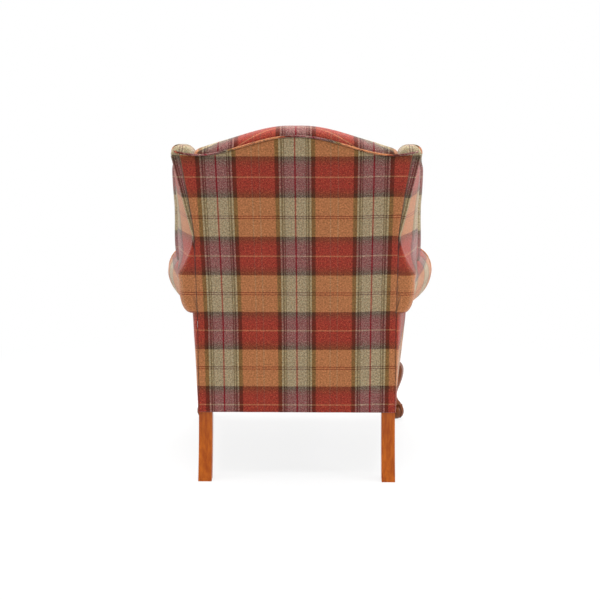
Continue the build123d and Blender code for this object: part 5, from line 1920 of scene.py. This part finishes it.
@dataclass
class Seat(Upholstery):
    """The border, the deck, the loose cushion and the dust cover."""

    corner: float = 12.0
    voxel: float = 6.0
    cushion_edge: float = 412.0
    border_foot: float = 8.0
    border_round: float = 14.0
    border_swell: float = 4.0
    border_thick: float = 3.0
    border_line: float = 120.0
    boxing_line: float = 375.0
    side_line: float = 30.0
    top_line: float = 60.0
    cushion_middle: tuple[float, float, float] = (0.0, -140.0, 395.0)
    cushion_share: tuple[float, float, float] = (0.982, 0.982, 0.94)
    cushion_pressure: float = 3.2
    cushion_limit: float = 11.0

    def border(self) -> None:
        """The padded front border: a section carried round the front of the seat.

        The plan path goes forward along one side, round the corner and across the front. The
        section runs from under the rail up a swollen face and over on to the deck.
        """
        f = self.form
        y1 = f.arm_front + f.facing_pad
        front = f.front_rail - f.border_pad
        sx = f.side_rail_x(front) + f.cover
        ex = f.side_rail_x(y1) + f.cover
        r = self.corner
        turn = np.linspace(0, np.pi / 2, 10)
        run_side = np.linspace([ex, y1], [sx, front + r], 24)
        arc = point(sx - r + r * np.cos(turn), front + r - r * np.sin(turn))[1:]
        half = np.linspace([sx - r, front], [0.0, front], 50)[1:]
        right = np.concatenate([run_side, arc, half])
        path = np.concatenate([right, (right * (-1, 1))[::-1][1:]])
        ahead = unit(np.gradient(path, axis=0))
        outward = point(-ahead[:, 1], ahead[:, 0])
        z0, z1 = f.rail_bottom, f.deck_top
        low, high = np.linspace(0.0, np.pi / 2, 7), np.linspace(0.0, np.pi / 2, 12)[1:]
        foot, top = self.border_foot, self.border_round
        face = np.linspace(z0 + foot + 1.0, z1 - top, 28)
        depth = np.concatenate([[-top], -foot * (1 - np.sin(low)), np.zeros_like(face),
                                -top * (1 - np.cos(high)), [-top - 10.0, -top - 26.0]])
        zs = np.concatenate([[z0 + 0.5], z0 + foot * (1 - np.cos(low)), face,
                             z1 - top + top * np.sin(high), [z1, z1]])
        swell = self.border_swell * np.sin(np.pi * np.clip((zs - z0) / (z1 - z0), 0, 1)) ** 0.8
        out = (depth + swell)[None] + ripples(np.arange(len(path))[:, None] * 8.0, zs[None], 0.5, 31)
        flat = path[:, None] + outward[:, None] * (out - self.border_swell)[..., None]
        p = point(flat[..., 0], flat[..., 1], zs)
        long = travelled(path[None])[0]
        up = travelled(point(depth, zs)[None])[0] - self.border_line
        cloth = point((long - long[len(long) // 2])[:, None], up)
        obj = self.cover("seat_border_pad", "seat_border", p, cloth, (0, -1, 0), self.border_thick)
        seam = path - self.welt_radius * outward
        self.cord("seat_border_welt", point(seam[:, 0], seam[:, 1], z0 + self.welt_radius + 0.5))

    def deck(self) -> None:
        """The firm deck under the cushion, its edges softened."""
        obj = Maker.copied("seat_deck", "seat_deck_pad")
        remesh(obj, self.voxel, 6)
        self.wardrobe.dress(obj, "deck_cloth", nodes=("seat_deck",))

    def plan(self, inset: float, count: int = 60) -> Array:
        """The cushion's outline: a T whose stem and front are drawn in between the corners.

        Args:
            inset: how far it is drawn in.
            count: how many points a long side has.

        Returns:
            The points, in their order round it.
        """
        f = self.form
        front = f.front_rail - f.border_pad - f.cushion_over + inset
        ear = f.arm_front - f.cushion_gap - inset
        rear = f.post_front_low - f.back_pad_low - f.back_pad_crown - f.cushion_gap - 3.0 - inset
        wide0 = f.side_rail_x(front) + f.cover - f.cushion_gap - inset
        wide1 = f.side_rail_x(ear) + f.cover - f.cushion_gap - inset
        stem0 = f.arm_inner_x(ear) - f.cushion_gap - inset
        stem1 = f.arm_inner_x(rear) - f.cushion_gap - inset
        half_x = (stem0 + stem1) / 2 - f.cushion_draw
        nose, tail = front + f.cushion_draw, rear - f.cushion_draw
        corner = point((0.0, wide0, wide1, stem0, stem1, 0.0), (nose, front, ear, ear, rear, tail))
        parts = [
            np.linspace(corner[0], corner[1], count)[:-1],
            np.linspace(corner[1], corner[2], count // 3)[:-1],
            np.linspace(corner[2], corner[3], count // 6)[:-1],
            bow(corner[3:4], np.array([[half_x, (ear + rear) / 2]]), corner[4:5], count)[0][:-1],
            np.linspace(corner[4], corner[5], count),
        ]
        right = np.concatenate(parts)
        right[:count - 1, 1] = front + f.cushion_draw * (1 - (right[:count - 1, 0] / wide0) ** 2)
        left = (right * (-1, 1))[::-1][1:-1]
        return softened(np.concatenate([right, left])[None], 9, 1, closed=True)[0]

    def cushion(self) -> None:
        """The loose cushion, swollen as stuffed cloth, with a welt along its two edges."""
        f = self.form
        obj = Maker.copied("seat_cushion", "seat_cushion_pad")
        middle = np.array(self.cushion_middle)
        set_vertices(obj, middle + (vertices(obj) - middle) * self.cushion_share)
        remesh(obj, self.voxel, 4)
        inflate(obj, self.cushion_pressure, self.cushion_limit)
        limit = vertices(obj)
        limit[:, 2] = np.maximum(limit[:, 2], f.deck_top + 0.6)
        set_vertices(obj, limit)
        grow = obj.modifiers.new("rounder", "SUBSURF")
        grow.levels = grow.render_levels = 1
        apply_modifiers(obj)
        tree = BVHTree.FromObject(obj, bpy.context.evaluated_depsgraph_get())
        edge = []
        for level in (self.cushion_edge + 28.0, f.deck_top + 8.0):
            near = [tree.find_nearest(Vector((x * MM, y * MM, level * MM)))[0] for x, y in self.plan(-1.0)]
            edge.append(softened(np.array(near)[None] / MM, 4, 1, closed=True)[0])
        self.lay_cushion(obj, edge[0])
        self.wardrobe.dress(obj, "tartan_wool", "cushion", ("seat_cushion",))
        for path, name in zip(edge, ("top", "foot")):
            self.cord("seat_cushion_welt_" + name, path, "cushion", closed=True)

    def lay_cushion(self, obj: bpy.types.Object, edge: Array) -> None:
        """The top takes the cloth flat, and the boxing below the welt takes it round its girth.

        Args:
            obj: the cushion.
            edge: the path of its upper welt.
        """
        spaced = edge[::5]

        def below(centres: Array) -> Array:
            """Which faces lie below the level of the welt nearest to them."""
            far = np.hypot(centres[:, None, 0] - spaced[:, 0], centres[:, None, 1] - spaced[:, 1])
            return centres[:, 2] < spaced[far.argmin(1), 2] - 0.5

        def boxing(points: Array) -> Array:
            """Places on the boxing: across the front, and along the sides behind it.

            Args:
                points: the corner points of the faces.

            Returns:
                Their places on the cloth.
            """
            x, y, z = points.T
            up = z - self.boxing_line
            in_front = y < self.form.front_rail - 2.0
            return point(np.where(in_front, x, y - self.side_line), up)

        lay_cloth(obj, lambda points: points[:, :2] + (0.0, self.top_line))
        patch_map(obj, below, boxing)

    def lining(self) -> None:
        """The black cloth tacked flat under the seat: the underside of its CAD node in small faces."""
        obj = Maker.copied("dust_cover", "dust_cover_cloth")
        work = bmesh.new()
        work.from_mesh(obj.data)
        others = [face for face in work.faces if face.normal.z > -0.5]
        bmesh.ops.delete(work, geom=others, context="FACES")
        bmesh.ops.dissolve_limit(work, angle_limit=0.02, verts=work.verts, edges=work.edges)
        bmesh.ops.triangulate(work, faces=work.faces)
        bmesh.ops.subdivide_edges(work, edges=work.edges, cuts=5, use_grid_fill=True)
        work.to_mesh(obj.data)
        area = sum(face.calc_area() for face in work.faces)
        work.free()
        points = vertices(obj)
        low, high = points.min(0), points.max(0)
        self.wardrobe.dress(obj, "black_lining", nodes=("dust_cover",))
        flat = tuple(float(v) * MM for v in (high - low)[:2])

    def make(self) -> None:
        """Builds the seat."""
        self.border()
        self.deck()
        self.cushion()
        self.lining()


# ---- timber ------------------------------------------------------------------------------


@dataclass
class Timber:
    """The legs in show wood and the hidden frame."""

    wardrobe: Wardrobe
    shown: tuple[str, ...] = ("front_leg", "rear_leg", "knee_bracket_front", "knee_bracket_side")
    webbing: tuple[str, ...] = ("seat_webbing", "back_webbing")

    def make(self) -> None:
        """Gives every CAD node that stays its finish."""
        for name, node in NODES.items():
            if node.hide_render:
                continue
            if name.startswith(self.shown):
                self.wardrobe.paint(name, "show_wood")
            elif name in self.webbing:
                self.wardrobe.paint(name, "webbing")
            else:
                self.wardrobe.paint(name, "frame_wood")
            log.info("%s: painted", name)


# ---- studio ------------------------------------------------------------------------------


@dataclass(frozen=True)
class Lamp:
    """A square soft lamp: its place and size in metres, and its power in watts."""

    name: str
    place: tuple[float, float, float]
    size: float
    power: float


@dataclass
class Studio:
    """The camera, the floor and the soft lights."""

    place: tuple[float, float, float] = (-0.07305, 4.1320, 1.23084)
    yaw: float = 0.0165
    pitch: float = 0.1779
    lens: float = 80.24
    world_level: float = 0.4

    aim: tuple[float, float, float] = (0.0, 0.0, 0.6)
    floor_reach: float = 9000.0
    floor_grey: float = 0.86
    lamps: tuple[Lamp, ...] = (
        Lamp("overhead", (0.0, 0.0, 3.4), 3.0, 180.0),
        Lamp("side_left", (3.3, 0.75, 1.7), 2.0, 62.0),
        Lamp("side_right", (-3.3, 0.75, 1.7), 2.0, 92.0),
        Lamp("front", (0.0, -3.4, 2.0), 2.6, 45.0),
    )

    @staticmethod
    def looking(name: str, data: bpy.types.ID, place: tuple, ahead: Vector) -> bpy.types.Object:
        """A camera or a lamp at a place, turned to look ahead.

        Args:
            name: its name.
            data: the camera or the lamp.
            place: where it stands.
            ahead: which way it looks.

        Returns:
            The object.
        """
        obj = placed(name, data)
        obj.location = place
        obj.rotation_mode = "QUATERNION"
        obj.rotation_quaternion = ahead.to_track_quat("-Z", "Y")
        return obj

    def camera(self) -> None:
        """The camera behind the chair, at the photograph's angle."""
        data = bpy.data.cameras.new("camera")
        data.lens = self.lens
        data.sensor_width = 36.0
        data.clip_end = 100.0
        level = np.cos(self.pitch)
        ahead = Vector((np.sin(self.yaw) * level, -np.cos(self.yaw) * level, -np.sin(self.pitch)))
        bpy.context.scene.camera = self.looking("camera", data, self.place, ahead)

    def light(self, lamp: Lamp) -> None:
        """Sets up a lamp that looks at the chair's middle.

        Args:
            lamp: the lamp.
        """
        data = bpy.data.lights.new(lamp.name, "AREA")
        data.size = lamp.size
        data.energy = lamp.power
        self.looking(lamp.name, data, lamp.place, Vector(self.aim) - Vector(lamp.place))

    def floor(self) -> None:
        """A plain pale floor that shows almost white and keeps a faint shadow."""
        reach = np.linspace(-self.floor_reach, self.floor_reach, 3)
        x, y = np.meshgrid(reach, reach, indexing="ij")
        p = point(x, y, 0.0)
        obj = Maker.grid("floor", p, p[..., :2])
        Maker.facing(obj, (0, 0, 1))
        s = Shader("floor")
        rays = s.node("ShaderNodeLightPath").outputs
        kinds = ("Camera", "Glossy", "Transmission")
        camera, gloss, glass = (Value(s, rays[f"Is {kind} Ray"]) for kind in kinds)
        share = (camera + gloss + glass).least(1.0) * (0.82 + 0.18 * s.object_place().length().step(0.7, 1.9))
        matt = s.node("ShaderNodeBsdfDiffuse", inputs={"Color": (self.floor_grey,) * 3})
        white = s.node("ShaderNodeEmission", inputs={"Color": WHITE, "Strength": 1.0})
        s.show(s.node("ShaderNodeMixShader", inputs={0: share, 1: matt.outputs[0], 2: white.outputs[0]}))
        obj.data.materials.append(s.owner)

    def world(self) -> None:
        """An even pale world that looks white behind the chair."""
        s = Shader("studio", world=True)
        rays = s.node("ShaderNodeLightPath").outputs
        seen = Value(s, rays["Is Camera Ray"]).most(Value(s, rays["Is Transmission Ray"]))
        level = self.world_level + (1.0 - self.world_level) * seen
        s.show(s.node("ShaderNodeBackground", inputs={"Color": WHITE, "Strength": level}))
        bpy.context.scene.world = s.owner

    def make(self) -> None:
        """Sets the studio up."""
        bpy.context.scene.view_settings.view_transform = "Standard"
        self.camera()
        self.floor()
        self.world()
        for lamp in self.lamps:
            self.light(lamp)


def main() -> None:
    """Builds the chair piece by piece."""
    logging.basicConfig(level=logging.INFO, format="%(name)s: %(message)s")
    NODES.update(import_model()["nodes"])
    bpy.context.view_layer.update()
    wardrobe = Wardrobe()
    Studio().make()
    Back(FORM, wardrobe).make()
    Wings(FORM, wardrobe).make()
    Arms(FORM, wardrobe).make()
    Seat(FORM, wardrobe).make()
    Timber(wardrobe).make()


if __name__ == "__main__":
    main()
